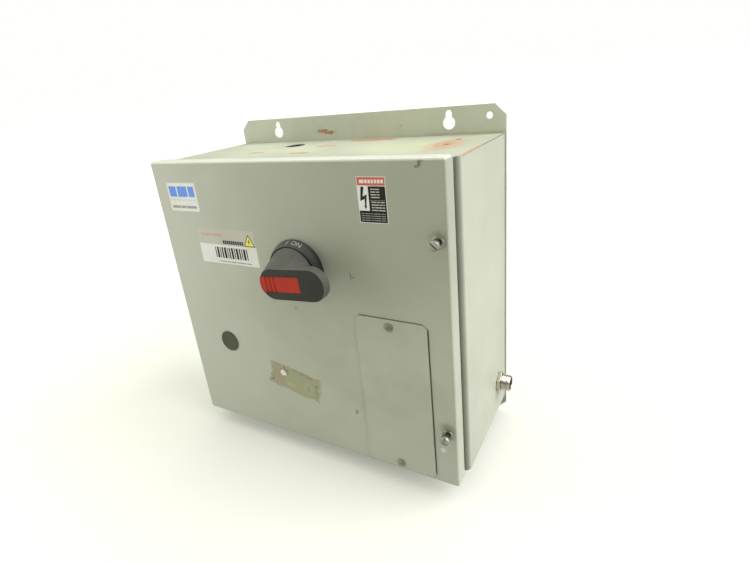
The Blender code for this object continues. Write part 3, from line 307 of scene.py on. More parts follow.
def enamel(name, marks=(), rust=(), edges=None, colour=ENAMEL):
    """Sprayed enamel with its marks and rust. edges is the middle and half size of a box."""
    material, tree, surface, place = start_finish(name, sum(ENAMEL_SHINE) / 2)
    grain = use_group(tree, GRAIN, {"Place": place, "Scale": ENAMEL_GRAIN})
    tone = between(tree, grain["Tone"], 0.3, 0.7)
    skin = blend(tree, tone, shade(colour, DARKER), shade(colour, LIGHTER))
    skin = blend(tree, times(tree, grain["Speck"], 0.22), skin, shade(colour, SPECKED))
    skin = lay_marks(tree, skin, place, marks)
    roughness = between(tree, grain["Tone"], 0.2, 0.8, *ENAMEL_SHINE)
    rusty = [cover(tree, place, spot) for spot in rust]
    if edges:
        worn = use_group(tree, EDGES, {"Place": place, "Centre": edges[0], "Half": edges[1],
                                       "Width": EDGE_WIDTH})["Mask"]
        rusty.append(times(tree, worn, EDGE_WEAR))
    while len(rusty) > 1:
        rusty.insert(0, maths(tree, "MAXIMUM", rusty.pop(0), rusty.pop(0)))
    if rusty:
        oxide = use_group(tree, RUST, {"Place": place, "Scale": RUST_GRAIN})
        skin = blend(tree, rusty[0], skin, oxide["Colour"])
        roughness = maths(tree, "ADD", roughness, times(tree, rusty[0], 0.3))
    tree.links.new(skin, surface.inputs["Base Color"])
    tree.links.new(roughness, surface.inputs["Roughness"])
    set_bump(tree, surface, grain["Height"], PEEL_DEPTH, PEEL_STRENGTH)
    return material


def middle_and_half(name):
    low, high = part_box(name)
    return (low + high) / 2, (high - low) / 2


# %% [markdown]
# ### Marks on the door
#
# The door has led a working life. A strip of tape has left its glue, tools have nicked it, and dirt
# has settled round the screws and along the cover plate. Broad painted light and shade lie over it
# too: a painted sheen and floor bounce make the left and the bottom paler and the upper right
# darker, a painted highlight runs along the top edge, and painted shade of the gap under the cover
# plate's rim darkens the lines along its edges. Each mark is one row: where it is, how big, how
# ragged and how strong.

# %% Colours and places on the door
door_low, door_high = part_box("door_panel")
DOOR_FRONT = door_low.y
SKIN, DEEP = 0.8 * MM, 40 * MM
STAIN = (0.305, 0.305, 0.168, 1)
OLIVE = (0.350, 0.350, 0.165, 1)
BROWN = (0.350, 0.270, 0.175, 1)
PALE = (0.440, 0.430, 0.270, 1)
DARK = (0.105, 0.110, 0.075, 1)
GRIME_AND_GAP_SHADE = (0.040, 0.042, 0.028, 1)
BARE = (0.760, 0.730, 0.590, 1)
PAINTED_LIGHT = (0.500, 0.520, 0.420, 1)
PAINTED_HIGHLIGHT = (0.610, 0.630, 0.530, 1)
PAINTED_SHADE = (0.320, 0.335, 0.245, 1)
TAPE_MIDDLE = (-21.5, -99.0)
TAPE_TURN = math.radians(-10.7)


def on_door(x, z):
    return (x * MM, DOOR_FRONT, z * MM)


def on_tape(along, across):
    """A place on the tape's residue, measured along it and across it from its middle."""
    c, s = math.cos(TAPE_TURN), math.sin(TAPE_TURN)
    return on_door(TAPE_MIDDLE[0] + c * along - s * across,
                   TAPE_MIDDLE[1] + s * along + c * across)


def spot_size(x, z, depth=SKIN):
    """Half sizes. The thin skin keeps a mark off the sheet's other side."""
    return (x * MM, depth, z * MM)


def fleck(where, x, z, strength, turn=0.0):
    """A small ragged speck."""
    return mark(DARK, where, spot_size(x, z), 0.0, 1.3, 480.0, 0.35, strength, turn)


# %% The door's marks
# Broad painted light and shade, a sheen and floor bounce at the left and bottom and shade at the
# upper right: colour, x, z, half width, half height, strength.
door_marks = [
    mark(colour, on_door(x, z), spot_size(wide, tall, DEEP), 0.0, 0.4, 8.0, 0.7, strength)
    for colour, x, z, wide, tall, strength in (
        (PAINTED_LIGHT, -200.0, -110.0, 150.0, 170.0, 0.75), (PAINTED_LIGHT, -200.0, 120.0, 70.0, 150.0, 0.5),
        (PAINTED_LIGHT, 120.0, -190.0, 150.0, 60.0, 0.35), (PAINTED_SHADE, 150.0, 150.0, 170.0, 120.0, 0.8))]
# A painted highlight along the door's top edge.
door_marks.append(mark(PAINTED_HIGHLIGHT, (0.0, DOOR_FRONT, door_high.z), (1.0, 17 * MM, 2.6 * MM),
                       1.0, 0.2, 90.0, 0.12, 0.75))
# Glue: colour, along, across, half sizes, square, ragged, scale, soft, strength, turn.
door_marks += [
    mark(colour, on_tape(along, across), spot_size(wide, tall), *rim)
    for colour, along, across, wide, tall, *rim in (
        (STAIN, 0.0, 0.0, 39.5, 18.5, 1.0, 0.5, 70.0, 0.05, 0.85, TAPE_TURN),
        (OLIVE, 4.0, -5.0, 17.0, 8.0, 0.0, 1.3, 90.0, 0.35, 0.7, TAPE_TURN),
        (BROWN, -26.0, 1.0, 11.0, 13.0, 0.0, 1.2, 110.0, 0.45, 0.55),
        (PALE, 23.0, -3.5, 6.5, 9.0, 0.0, 0.5, 160.0, 0.3, 0.55),
        (STAIN, 23.0, -3.5, 4.0, 6.5, 0.0, 0.5, 160.0, 0.3, 0.75),
        (PALE, -5.0, -9.0, 7.0, 3.0, 0.0, 1.0, 200.0, 0.4, 0.5),
        (BARE, -18.0, 5.0, 4.6, 4.2, 0.0, 1.7, 330.0, 0.10, 1.0))]
# Flecks on the glue: along, across, half sizes, strength, turn.
door_marks += [
    fleck(on_tape(along, across), *rest) for along, across, *rest in (
        (-13.0, 11.0, 4.6, 1.2, 0.75, TAPE_TURN), (-17.0, 14.0, 1.6, 3.0, 0.55),
        (-11.0, 7.0, 1.2, 2.4, 0.6), (-23.0, 10.0, 1.3, 1.1, 0.5),
        (1.0, 16.0, 6.0, 0.8, 0.5, TAPE_TURN), (13.0, 15.5, 5.0, 0.8, 0.7, TAPE_TURN),
        (24.0, 14.0, 5.5, 0.9, 0.65, TAPE_TURN), (35.0, 5.5, 1.9, 1.7, 0.7),
        (36.5, -6.0, 0.9, 8.0, 0.4), (-38.0, -5.0, 1.6, 1.3, 0.7),
        (-36.0, -13.0, 2.4, 1.3, 0.7), (-34.0, -9.0, 1.2, 3.4, 0.4))]
# Nicks elsewhere: x, z, half sizes, strength.
door_marks += [
    fleck(on_door(x, z), *rest) for x, z, *rest in (
        (177.5, 186.0, 1.8, 3.0, 0.8), (175.0, 183.0, 3.0, 1.2, 0.75),
        (179.5, 188.0, 2.4, 0.9, 0.6), (87.8, 63.8, 0.8, 5.0, 0.8), (90.3, 62.4, 2.4, 0.8, 0.7),
        (73.0, -121.5, 1.5, 3.0, 0.8), (69.5, -125.5, 1.2, 1.0, 0.5), (2.4, 11.7, 3.0, 2.0, 0.4))]

# %% Dirt round the screws, and dirt with painted shade along the cover plate
plate_middle, plate_half = (corner / MM for corner in middle_and_half("cover_plate"))
plate_x, plate_z, half_x, half_z = plate_middle.x, plate_middle.z, plate_half.x, plate_half.z
# Colour, x, z, half sizes, square, ragged, scale, soft, strength.
door_marks += [
    mark(colour, on_door(x, z), spot_size(wide, tall), *rim)
    for colour, x, z, wide, tall, *rim in (
        (BARE, 185.7, -141.5, 3.2, 3.0, 0.0, 1.4, 300.0, 0.5, 0.55),
        (DARK, 192.6, -110.0, 8.5, 7.0, 0.0, 0.5, 160.0, 0.6, 0.45),
        (DARK, 192.6, 114.0, 9.0, 8.0, 0.0, 0.5, 160.0, 0.6, 0.35),
        # Dark lines along the plate's right, top and left edges: dirt, with painted shade of the
        # gap under the plate's rim.
        (GRIME_AND_GAP_SHADE, plate_x + half_x + 0.6, plate_z, 0.9, half_z - 5, 1.0, 0.06, 300.0, 0.04, 0.8),
        (GRIME_AND_GAP_SHADE, plate_x, plate_z + half_z + 0.5, half_x - 5, 0.8, 1.0, 0.06, 300.0, 0.04, 0.55),
        (BROWN, plate_x - half_x - 0.5, plate_z, 0.7, half_z - 4, 1.0, 0.10, 300.0, 0.08, 0.6))]
for which in ("upper", "lower"):
    middle, _ = middle_and_half(f"cover_screw_{which}")
    halo = (middle.x, (plate_middle.y - plate_half.y) * MM, middle.z)
    door_marks.append(mark(DARK, halo, spot_size(6.0, 6.0), 0.0, 0.5, 200.0, 0.35, 0.5))
door_enamel = enamel("door_enamel", door_marks, edges=middle_and_half("door_panel"))
print("marks on the door:", len(door_marks))

# %% [markdown]
# ### Rust, dirt and painted light on the body
#
# Water has stood on top of the box, so rust grows round its small holes and in loose stains, and a
# green film has formed. Brown water marks the seam along the top right edge, and painted shade
# darkens the gap behind the door. The rear flange's enamel is painted lighter, standing in for
# light bounced onto it from the top sheet.

# %% Enamel for the body's sheets
_, top_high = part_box("body_top")
side_low, side_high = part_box("body_right_side")
back_low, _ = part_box("back_panel")
SEAM_BROWN = (0.130, 0.080, 0.040, 1)
SEAM_SHADOW = (0.050, 0.052, 0.030, 1)
LICHEN = (0.500, 0.530, 0.300, 1)
# Lighter enamel for the rear flange: painted light, bounced onto it from the top sheet.
BOUNCE_LIT_TONE = (0.530, 0.550, 0.425, 1)


def on_top(colour, x, y, wide, deep, *rim):
    return mark(colour, (x * MM, y * MM, top_high.z), (wide * MM, deep * MM, SKIN), *rim)


def on_side(colour, y, z, deep, tall, *rim):
    return mark(colour, (side_high.x, y * MM, z), (SKIN, deep * MM, tall * MM), *rim)


def on_flange(x, z, wide, tall, *rim):
    return mark(None, (x * MM, back_low.y, z * MM), (wide * MM, SKIN, tall * MM), *rim)


# Each row: place, half sizes, square, ragged, scale, soft, strength.
top_rust = [on_top(None, *row) for row in (
    (163.0, -84.0, 20.0, 40.0, 0.0, 0.9, 45.0, 0.5, 0.5),
    (160.0, -78.0, 12.0, 26.0, 0.0, 1.4, 80.0, 0.3, 0.75),
    (164.6, -44.0, 4.6, 4.6, 0.0, 0.5, 300.0, 0.3, 0.95),
    (163.4, -80.6, 4.6, 4.6, 0.0, 0.5, 300.0, 0.3, 0.95),
    (-94.3, -106.0, 13.0, 5.0, 0.0, 1.6, 110.0, 0.35, 0.9),
    (-13.8, -116.0, 14.0, 6.0, 0.0, 1.6, 110.0, 0.35, 0.9),
    (-9.3, -63.0, 14.0, 6.0, 0.0, 1.5, 90.0, 0.4, 0.8),
    (35.0, -20.0, 38.0, 9.0, 0.0, 1.6, 60.0, 0.35, 0.9),
    (206.0, -130.0, 1.4, 34.0, 1.0, 0.4, 60.0, 0.3, 0.8))]
top_marks = [
    on_top(SEAM_BROWN, 206.6, -70.0, 0.9, 70.0, 1.0, 0.1, 200.0, 0.1, 0.85),
    on_top(LICHEN, 110.0, -90.0, 55.0, 36.0, 0.0, 0.9, 40.0, 0.6, 0.5),
    on_top(LICHEN, -60.0, -90.0, 50.0, 30.0, 0.0, 0.9, 40.0, 0.6, 0.4)]
side_rust = [
    on_side(None, -125.0, side_high.z, 35.0, 0.7, 1.0, 0.4, 60.0, 0.2, 0.85),
    on_side(None, -150.0, side_high.z, 8.0, 2.5, 0.0, 1.2, 110.0, 0.5, 0.3),
    on_side(None, -163.0, side_low.z, 2.0, 4.0, 0.0, 1.2, 110.0, 0.5, 0.5)]
side_marks = [
    # Painted shade in the gap between the door and the body's front edge.
    mark(SEAM_SHADOW, (0.0, side_low.y, 0.0), (2.0, 4 * MM, 2.0), 1.0, 0.05, 120.0, 0.85, 0.5),
    on_side(SEAM_BROWN, -75.0, side_high.z, 70.0, 0.8, 1.0, 0.1, 200.0, 0.1, 0.85)]
flange_rust = [on_flange(*row) for row in (
    (-56.0, 200.0, 9.0, 2.4, 0.0, 1.5, 260.0, 0.3, 0.95),
    (-44.0, 197.5, 9.0, 2.2, 0.0, 1.5, 260.0, 0.3, 0.95),
    (70.0, 202.0, 1.2, 1.2, 0.0, 1.0, 400.0, 0.4, 0.5),
    (160.0, 188.5, 45.0, 1.4, 1.0, 1.4, 60.0, 0.5, 0.2))]
top_enamel = enamel("top_enamel", top_marks, top_rust)
side_enamel = enamel("side_enamel", side_marks, side_rust)
# The rear flange's lighter colour is painted bounce light.
flange_enamel = enamel("flange_enamel", rust=flange_rust, edges=middle_and_half("back_panel"),
                       colour=BOUNCE_LIT_TONE)
plain_enamel = enamel("plain_enamel")
print("enamels:", [m.name for m in bpy.data.materials if "enamel" in m.name])

# %% [markdown]
# ## Plastics, metals and the rest
#
# Moulded plastic has a fine spark-eroded grain. Plated metal is smooth where it is clean and
# dull where grease sits. One function covers both: a base colour and a second one that the
# slow tone brings in, a range of roughness, and the depth of the grain.

# %% One function for simple finishes
METAL, STEEL_GRAIN, PLATED_GRAIN = 1.0, 2600.0, 2000.0


def simple_finish(name, first, second, roughness, metallic=0.0, scale=1200.0, depth=0.04,
                  speck=0.15, shine=0.5, marks=()):
    """A finish between two colours and two roughnesses, with a fine grain."""
    material, tree, surface, place = start_finish(name, roughness[0], metallic)
    grain = use_group(tree, GRAIN, {"Place": place, "Scale": scale})
    skin = blend(tree, between(tree, grain["Tone"], 0.32, 0.68), first + (1,), second + (1,))
    skin = blend(tree, times(tree, grain["Speck"], speck), skin, shade(first, 0.45))
    skin = lay_marks(tree, skin, place, marks)
    tree.links.new(skin, surface.inputs["Base Color"])
    rough = between(tree, grain["Tone"], 0.25, 0.75, *roughness)
    tree.links.new(rough, surface.inputs["Roughness"])
    surface.inputs["Specular IOR Level"].default_value = shine
    set_bump(tree, surface, grain["Height"], depth * MM)
    return material


# %% Plastics
bezel_middle, bezel_half = middle_and_half("handle_bezel")
# The bezel's top is painted paler than its right side.
PALE_TOP_TONE = (0.085, 0.085, 0.070, 1)
paler_bezel_top = [mark(PALE_TOP_TONE, (bezel_middle.x - 6 * MM, bezel_middle.y, bezel_middle.z + bezel_half.z),
                  (30 * MM, 20 * MM, 26 * MM), 0.0, 0.3, 90.0, 0.5, 0.7)]
charcoal = simple_finish("charcoal_plastic", (0.011, 0.012, 0.008), (0.020, 0.021, 0.014),
                         (0.42, 0.56), shine=0.3, marks=paler_bezel_top)
grip_black = simple_finish("grip_plastic", (0.013, 0.014, 0.009), (0.022, 0.023, 0.015),
                           (0.40, 0.52), shine=0.3)
# Paler plastic for the handle's boss and sides: wear, with painted sheen for the light they catch.
sheen_and_wear_black = simple_finish("sheen_and_wear_plastic", (0.068, 0.068, 0.054), (0.098, 0.097, 0.078),
                           (0.46, 0.60), shine=0.35)
red = simple_finish("red_plastic", (0.34, 0.026, 0.012), (0.44, 0.042, 0.021), (0.38, 0.50),
                    speck=0.3, shine=0.1)
plug_plastic = simple_finish("plug_plastic", (0.060, 0.063, 0.036), (0.082, 0.085, 0.050),
                             (0.55, 0.7), shine=0.3)
black_moulding = simple_finish("black_moulding", (0.022, 0.022, 0.024), (0.034, 0.034, 0.036),
                               (0.38, 0.52))
grey_moulding = simple_finish("grey_moulding", (0.15, 0.16, 0.17), (0.21, 0.22, 0.23), (0.4, 0.55))
fibre = simple_finish("fuse_fibre", (0.50, 0.44, 0.31), (0.58, 0.52, 0.39), (0.55, 0.7),
                      scale=1500.0)
foam = simple_finish("gasket_foam", (0.030, 0.030, 0.030), (0.050, 0.050, 0.048), (0.85, 0.95),
                     scale=1600.0, depth=0.25)

# %% Metals and white paint
screw_steel = simple_finish("screw_steel", (0.24, 0.235, 0.18), (0.48, 0.47, 0.38), (0.34, 0.58),
                            METAL, STEEL_GRAIN, speck=0.7)
greasy_steel = simple_finish("greasy_steel", (0.030, 0.028, 0.020), (0.085, 0.080, 0.060),
                             (0.45, 0.7), 0.6, STEEL_GRAIN, speck=0.5)
grimy_steel = simple_finish("grimy_steel", (0.20, 0.205, 0.15), (0.36, 0.37, 0.28), (0.5, 0.75),
                            0.4, STEEL_GRAIN, speck=0.5)
ring_steel = simple_finish("ring_steel", (0.30, 0.29, 0.22), (0.52, 0.51, 0.42), (0.34, 0.55),
                           METAL, STEEL_GRAIN, speck=0.5)
nickel = simple_finish("nickel_plate", (0.50, 0.48, 0.39), (0.66, 0.64, 0.54), (0.20, 0.34),
                       METAL, PLATED_GRAIN, depth=0.015, speck=0.35)
copper = simple_finish("copper_strap", (0.66, 0.33, 0.19), (0.78, 0.45, 0.30), (0.25, 0.42),
                       METAL, PLATED_GRAIN, depth=0.02)
brass = simple_finish("pin_brass", (0.70, 0.50, 0.20), (0.80, 0.62, 0.32), (0.2, 0.3),
                      METAL, PLATED_GRAIN)
tinned = simple_finish("tinned_aluminium", (0.60, 0.60, 0.59), (0.72, 0.72, 0.71), (0.3, 0.48),
                       METAL, 1800.0, depth=0.03)
zinc = simple_finish("zinc_plate", (0.58, 0.58, 0.54), (0.70, 0.70, 0.66), (0.3, 0.5),
                     METAL, 2400.0)
pan_white = simple_finish("pan_white", (0.70, 0.71, 0.67), (0.77, 0.78, 0.74), (0.34, 0.46),
                          scale=900.0)
print("finishes:", len(bpy.data.materials))

# %% [markdown]
# ### Clear plastic
#
# The guard over the live lugs is clear acrylic, so that the lugs can be seen but not touched.
# Full transmission and acrylic's own index of refraction make it. A very faint tint keeps it
# from vanishing.

# %% Clear plastic
CLEAR_ROUGHNESS, ACRYLIC_INDEX, HAZE_GRAIN = 0.08, 1.49, 500.0
clear, clear_tree, clear_surface, clear_place = start_finish("clear_guard", CLEAR_ROUGHNESS)
clear_surface.inputs["Transmission Weight"].default_value = 1.0
clear_surface.inputs["IOR"].default_value = ACRYLIC_INDEX
haze = use_group(clear_tree, GRAIN, {"Place": clear_place, "Scale": HAZE_GRAIN})
tint = blend(clear_tree, haze["Tone"], (0.90, 0.94, 0.93, 1), (0.97, 0.99, 0.98, 1))
clear_tree.links.new(tint, clear_surface.inputs["Base Color"])

# %% [markdown]
# ### Nodes that stay as they are
#
# The gasket, the hinge pins, the nuts and the copper parts of the switch are small or hidden,
# and their bare shape is already right. They only get a finish.

# %% Dress the nodes that are carried over
POLES = (1, 2, 3)
BOTH = ("upper", "lower")
DRESS = {"door_gasket": foam}
for which in BOTH:
    DRESS[f"hinge_{which}_pin"] = DRESS[f"captive_nut_{which}"] = zinc
for pole in POLES:
    for name in ("bridge_contact", "line_contact", "load_contact", "lower_clip"):
        DRESS[f"{name}_{pole}"] = copper
for name, material in DRESS.items():
    mesh = frame["nodes"][name].data
    mesh.materials.clear()
    mesh.materials.append(material)
print("dressed:", len(DRESS), "of", len(frame["nodes"]))

# %% [markdown]
# ## Tools for shapes
#
# The finer pieces are made with bmesh operators. Turned pieces start as a half outline of a
# few points, which spin sweeps round the Z axis. Each piece is modelled facing up, then
# turned to face forwards at its place on the object.

# %% Turned shapes and outlines
FACING = Matrix.Rotation(math.pi / 2, 4, "X")
SIDEWAYS = Matrix.Rotation(math.pi / 2, 4, "Y")


def turned(profile, steps=64, closed=False):
    """Spins a half outline of (radius, height) points, in millimetres, round the Z axis."""
    bm = bmesh.new()
    verts = [bm.verts.new((radius * MM, 0.0, height * MM)) for radius, height in profile]
    edges = [bm.edges.new(pair) for pair in zip(verts, verts[1:])]
    if closed:
        edges.append(bm.edges.new((verts[-1], verts[0])))
    bmesh.ops.spin(bm, geom=verts + edges, cent=(0, 0, 0), axis=(0, 0, 1),
                   angle=math.tau, steps=steps, use_merge=True)
    bmesh.ops.remove_doubles(bm, verts=bm.verts, dist=0.002 * MM)
    bmesh.ops.recalc_face_normals(bm, faces=bm.faces)
    return bm


def rounded(points, corner, steps=4):
    """The points of an outline with each inner corner cut by a short curve."""
    smooth = [points[0]]
    for before, at, after in zip(points, points[1:], points[2:]):
        start, middle, end = Vector(before), Vector(at), Vector(after)
        cut = min(corner, (start - middle).length * 0.45, (end - middle).length * 0.45)
        first = middle + (start - middle).normalized() * cut
        last = middle + (end - middle).normalized() * cut
        for step in range(steps + 1):
            t = step / steps
            smooth.append(tuple(first.lerp(middle, t).lerp(middle.lerp(last, t), t)))
    return smooth + [points[-1]]


def arc(centre, radius, start, end, steps):
    """Points on an arc between two angles in degrees."""
    angles = [math.radians(start + (end - start) * step / steps) for step in range(steps + 1)]
    return [(centre[0] + radius * math.cos(a), centre[1] + radius * math.sin(a)) for a in angles]


# %% Boxes and raised outlines
def box(bm, low, high):
    """A box between two corners, in millimetres."""
    low, high = Vector(low) * MM, Vector(high) * MM
    made = bmesh.ops.create_cube(bm, size=1.0)["verts"]
    grow = Matrix.Diagonal((high - low).to_4d())
    bmesh.ops.transform(bm, matrix=Matrix.Translation((low + high) / 2) @ grow, verts=made)
    return made


def prism(bm, outline, low, high):
    """An outline in millimetres, raised from one height to another. Returns its lid."""
    base = bm.faces.new([bm.verts.new((x * MM, y * MM, low * MM)) for x, y in outline])
    made = bmesh.ops.extrude_face_region(bm, geom=[base])["geom"]
    lid = [item for item in made if isinstance(item, bmesh.types.BMVert)]
    bmesh.ops.translate(bm, verts=lid, vec=(0, 0, (high - low) * MM))
    return lid


# %% Joining and cutting
def as_object(name, bm):
    mesh = bpy.data.meshes.new(name)
    bm.to_mesh(mesh)
    bm.free()
    made = bpy.data.objects.new(name, mesh)
    bpy.context.scene.collection.objects.link(made)
    return made


def drop(helper):
    """Removes a helper object together with its mesh."""
    mesh = helper.data
    bpy.data.objects.remove(helper, do_unlink=True)
    bpy.data.meshes.remove(mesh)


def add_to(bm, other):
    """Moves the faces of a second bmesh into the first."""
    mesh = bpy.data.meshes.new("part")
    other.to_mesh(mesh)
    other.free()
    bm.from_mesh(mesh)
    bpy.data.meshes.remove(mesh)


def as_seen(helper):
    """The mesh of a helper object once its modifiers and its curves are worked out."""
    bpy.context.view_layer.update()
    graph = bpy.context.evaluated_depsgraph_get()
    mesh = bpy.data.meshes.new_from_object(helper.evaluated_get(graph))
    made = bmesh.new()
    made.from_mesh(mesh)
    bpy.data.meshes.remove(mesh)
    return made


def combined(bm, other, operation):
    """Joins two closed shapes, or cuts the second from the first, into a new bmesh."""
    bmesh.ops.recalc_face_normals(bm, faces=bm.faces)
    bmesh.ops.recalc_face_normals(other, faces=other.faces)
    kept, tool = as_object("kept", bm), as_object("tool", other)
    step = kept.modifiers.new("step", "BOOLEAN")
    step.operation = operation
    step.object = tool
    made = as_seen(kept)
    drop(kept)
    drop(tool)
    return made


# %% A finished piece
def piece(name, bm, body, finishes, place=None, stands_for=(), sharp=35.0, soften=0.0):
    """Turns a bmesh into a named piece at its place, dressed and riding on its body."""
    if place is not None:
        bmesh.ops.transform(bm, matrix=place, verts=bm.verts)
    made = as_object(name, bm)
    made.data.shade_smooth()
    made.data.set_sharp_from_angle(angle=math.radians(sharp))
    for finish in finishes if isinstance(finishes, (list, tuple)) else [finishes]:
        made.data.materials.append(finish)
    if soften:
        bevel = made.modifiers.new("soft edges", "BEVEL")
        bevel.width = soften * MM
        bevel.segments = 2
        bevel.limit_method = "ANGLE"
        bevel.angle_limit = math.radians(sharp)
        flats = made.modifiers.new("flat faces", "WEIGHTED_NORMAL")
        flats.keep_sharp = True
    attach(made, body)
    if stands_for:
        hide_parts(*stands_for)
    size = [round(side / MM, 1) for side in made.dimensions]
    print(f"{name}: {len(made.data.polygons)} faces, {size} mm, rides on {body}")
    return made


# %% [markdown]
# ## Sheets and mouldings
#
# Folded sheets and moulded blocks are already the right shape in the bare model, but every
# edge there is a knife edge. Real ones are deburred or moulded with a small radius that
# catches the light. A merged copy of each node gets that radius from a Bevel modifier, and a
# Weighted Normal modifier keeps the broad faces flat in the light.

# %% Softened copies
SAME_POINT, SAME_PLANE = 0.005 * MM, math.radians(0.5)
CASE, DOOR, KNOB, SHAFT, CARRIER = "enclosure", "door", "handle", "shaft", "contact_carrier"
# Bare node: name, body, finish, radius in millimetres, colour slot, which nothing reads.
SOFTENED = {
    "door_panel": ("door_sheet", DOOR, door_enamel, 0.3, "paint"),
    "back_panel": ("rear_sheet", CASE, flange_enamel, 0.3, "paint"),
    "body_top": ("top_sheet", CASE, top_enamel, 0.3, "paint"),
    "body_bottom": ("bottom_sheet", CASE, plain_enamel, 0.3, "paint"),
    "body_left_side": ("left_sheet", CASE, plain_enamel, 0.3, "paint"),
    "body_right_side": ("right_sheet", CASE, side_enamel, 0.3, "paint"),
    "front_rim": ("door_rim", CASE, plain_enamel, 0.3, "paint"),
    "hinge_upper_body_leaf": ("upper_fixed_leaf", CASE, plain_enamel, 0.3, "paint"),
    "hinge_upper_door_leaf": ("upper_moving_leaf", DOOR, plain_enamel, 0.3, "paint"),
    "hinge_lower_body_leaf": ("lower_fixed_leaf", CASE, plain_enamel, 0.3, "paint"),
    "hinge_lower_door_leaf": ("lower_moving_leaf", DOOR, plain_enamel, 0.3, "paint"),
    "mounting_pan": ("component_pan", CASE, pan_white, 0.4, "white_paint"),
    "switch_base": ("switch_housing", CASE, black_moulding, 0.6, "dark_moulding"),
    "switch_cover": ("switch_lid", CASE, black_moulding, 0.6, "dark_moulding"),
    "fuse_block": ("fuse_tray", CASE, black_moulding, 0.6, "dark_moulding"),
    "line_shield": ("clear_shield", CASE, clear, 0.3, "clear_plastic"),
    "handle_socket": ("shaft_coupler", KNOB, black_moulding, 0.5, "black_plastic"),
    "operating_shaft": ("square_shaft", SHAFT, zinc, 0.5, "steel"),
    "drive_cam": ("cam_wheel", SHAFT, grey_moulding, 0.3, "grey_moulding"),
    "contact_carrier": ("sliding_carrier", CARRIER, grey_moulding, 0.3, "grey_moulding"),
}
for source, (name, body, finish, radius, slot) in SOFTENED.items():
    copy = bmesh.new()
    copy.from_mesh(frame["nodes"][source].data)
    bmesh.ops.remove_doubles(copy, verts=copy.verts, dist=SAME_POINT)
    bmesh.ops.dissolve_limit(copy, angle_limit=SAME_PLANE, verts=copy.verts, edges=copy.edges)
    bmesh.ops.recalc_face_normals(copy, faces=copy.faces)
    piece(name, copy, body, finish, None, [source], soften=radius)

# %% [markdown]
# ## Handle
#
# The handle is a pistol grip: a boss that narrows from a circle into a flat grip with round ends,
# set off to one side of the axis. A convex hull over a circle and the grip's outline gives the boss
# its ruled sides in one step. The grip itself is a prism with soft rims, and a slot in its front
# takes the red slide. The faces get two finishes by the way they face: the front is dark, and the
# boss and sides are paler, partly rubbed by hands and partly painted sheen that stands in for the
# light they catch.

# %% Where the handle is
HANDLE_AT = Vector(joints["handle_turn"]["pos_m"])
nose = Vector(joints["padlock_slide_out"]["axis"])
HANDLE_TILT = math.atan2(nose.z, -nose.x)
ON_DOOR = Matrix.Translation(HANDLE_AT) @ FACING
HANDLE = Matrix.Translation(HANDLE_AT) @ Matrix.Rotation(HANDLE_TILT, 4, "Y") @ FACING
print("handle tilt in degrees:", round(math.degrees(HANDLE_TILT), 2))

# %% Boss and grip
NOSE_X, TAIL_X, GRIP_R = -18.5, 69.0, 18.5
BOSS_R, BOSS_TAIL, BOSS_LOW, BOSS_WALL = 30.5, 24.0, 7.3, 12.5
GRIP_BACK, GRIP_FRONT, GRIP_SOFT, OVERLAP = 35.5, 46.0, 1.4, 0.05
SLIDE_HALF, SLIDE_END, SLIDE_DEEP, SLIDE_GAP = 9.0, 36.5, 6.5, 0.3
FRONT_FACING = 0.8


def stadium(left, right, radius, steps=24):
    """A long outline with round ends."""
    return (arc((right - radius, 0.0), radius, -90.0, 90.0, steps)
            + arc((left + radius, 0.0), radius, 90.0, 270.0, steps))


boss = bmesh.new()
for height in (BOSS_LOW, BOSS_WALL):
    bmesh.ops.create_circle(boss, segments=96, radius=BOSS_R * MM,
                            matrix=Matrix.Translation((0, 0, height * MM)))
for x, y in stadium(NOSE_X, BOSS_TAIL, GRIP_R):
    boss.verts.new((x * MM, y * MM, (GRIP_FRONT - GRIP_SOFT) * MM))
bmesh.ops.convex_hull(boss, input=boss.verts)
bmesh.ops.delete(boss, geom=[v for v in boss.verts if not v.link_faces], context="VERTS")

grip = bmesh.new()
lid = prism(grip, stadium(NOSE_X - OVERLAP, TAIL_X, GRIP_R + OVERLAP), GRIP_BACK, GRIP_FRONT)
front_rim = {edge for vert in lid for edge in vert.link_edges if all(v in lid for v in edge.verts)}
bmesh.ops.bevel(grip, geom=list(front_rim), offset=GRIP_SOFT * MM, offset_type="OFFSET",
                segments=6, profile=0.5, affect="EDGES", material=-1)
knob = combined(boss, grip, "UNION")

slot = bmesh.new()
slot_half = SLIDE_HALF + SLIDE_GAP
box(slot, (2 * NOSE_X, -slot_half, GRIP_FRONT - SLIDE_DEEP - SLIDE_GAP),
    (SLIDE_END + SLIDE_GAP, slot_half, GRIP_FRONT + 1.0))
knob = combined(knob, slot, "DIFFERENCE")
knob.normal_update()
# Forward faces take the dark finish; the rest take the paler one with its painted sheen.
for face in knob.faces:
    in_front = face.calc_center_median().z > GRIP_BACK * MM and face.normal.z > FRONT_FACING
    face.material_index = 0 if in_front else 1
piece("grip", knob, KNOB, [grip_black, sheen_and_wear_black], HANDLE, ["handle_knob"],
      sharp=40.0, soften=0.5)

# %% [markdown]
# ### Red slide
#
# The slide is pulled out of the grip's end to take a padlock. Its end follows the grip's round
# nose, and three shallow grooves give a thumb some hold. A cylinder laid across and cut away
# makes a groove with a hollow floor, as a moulded one has.

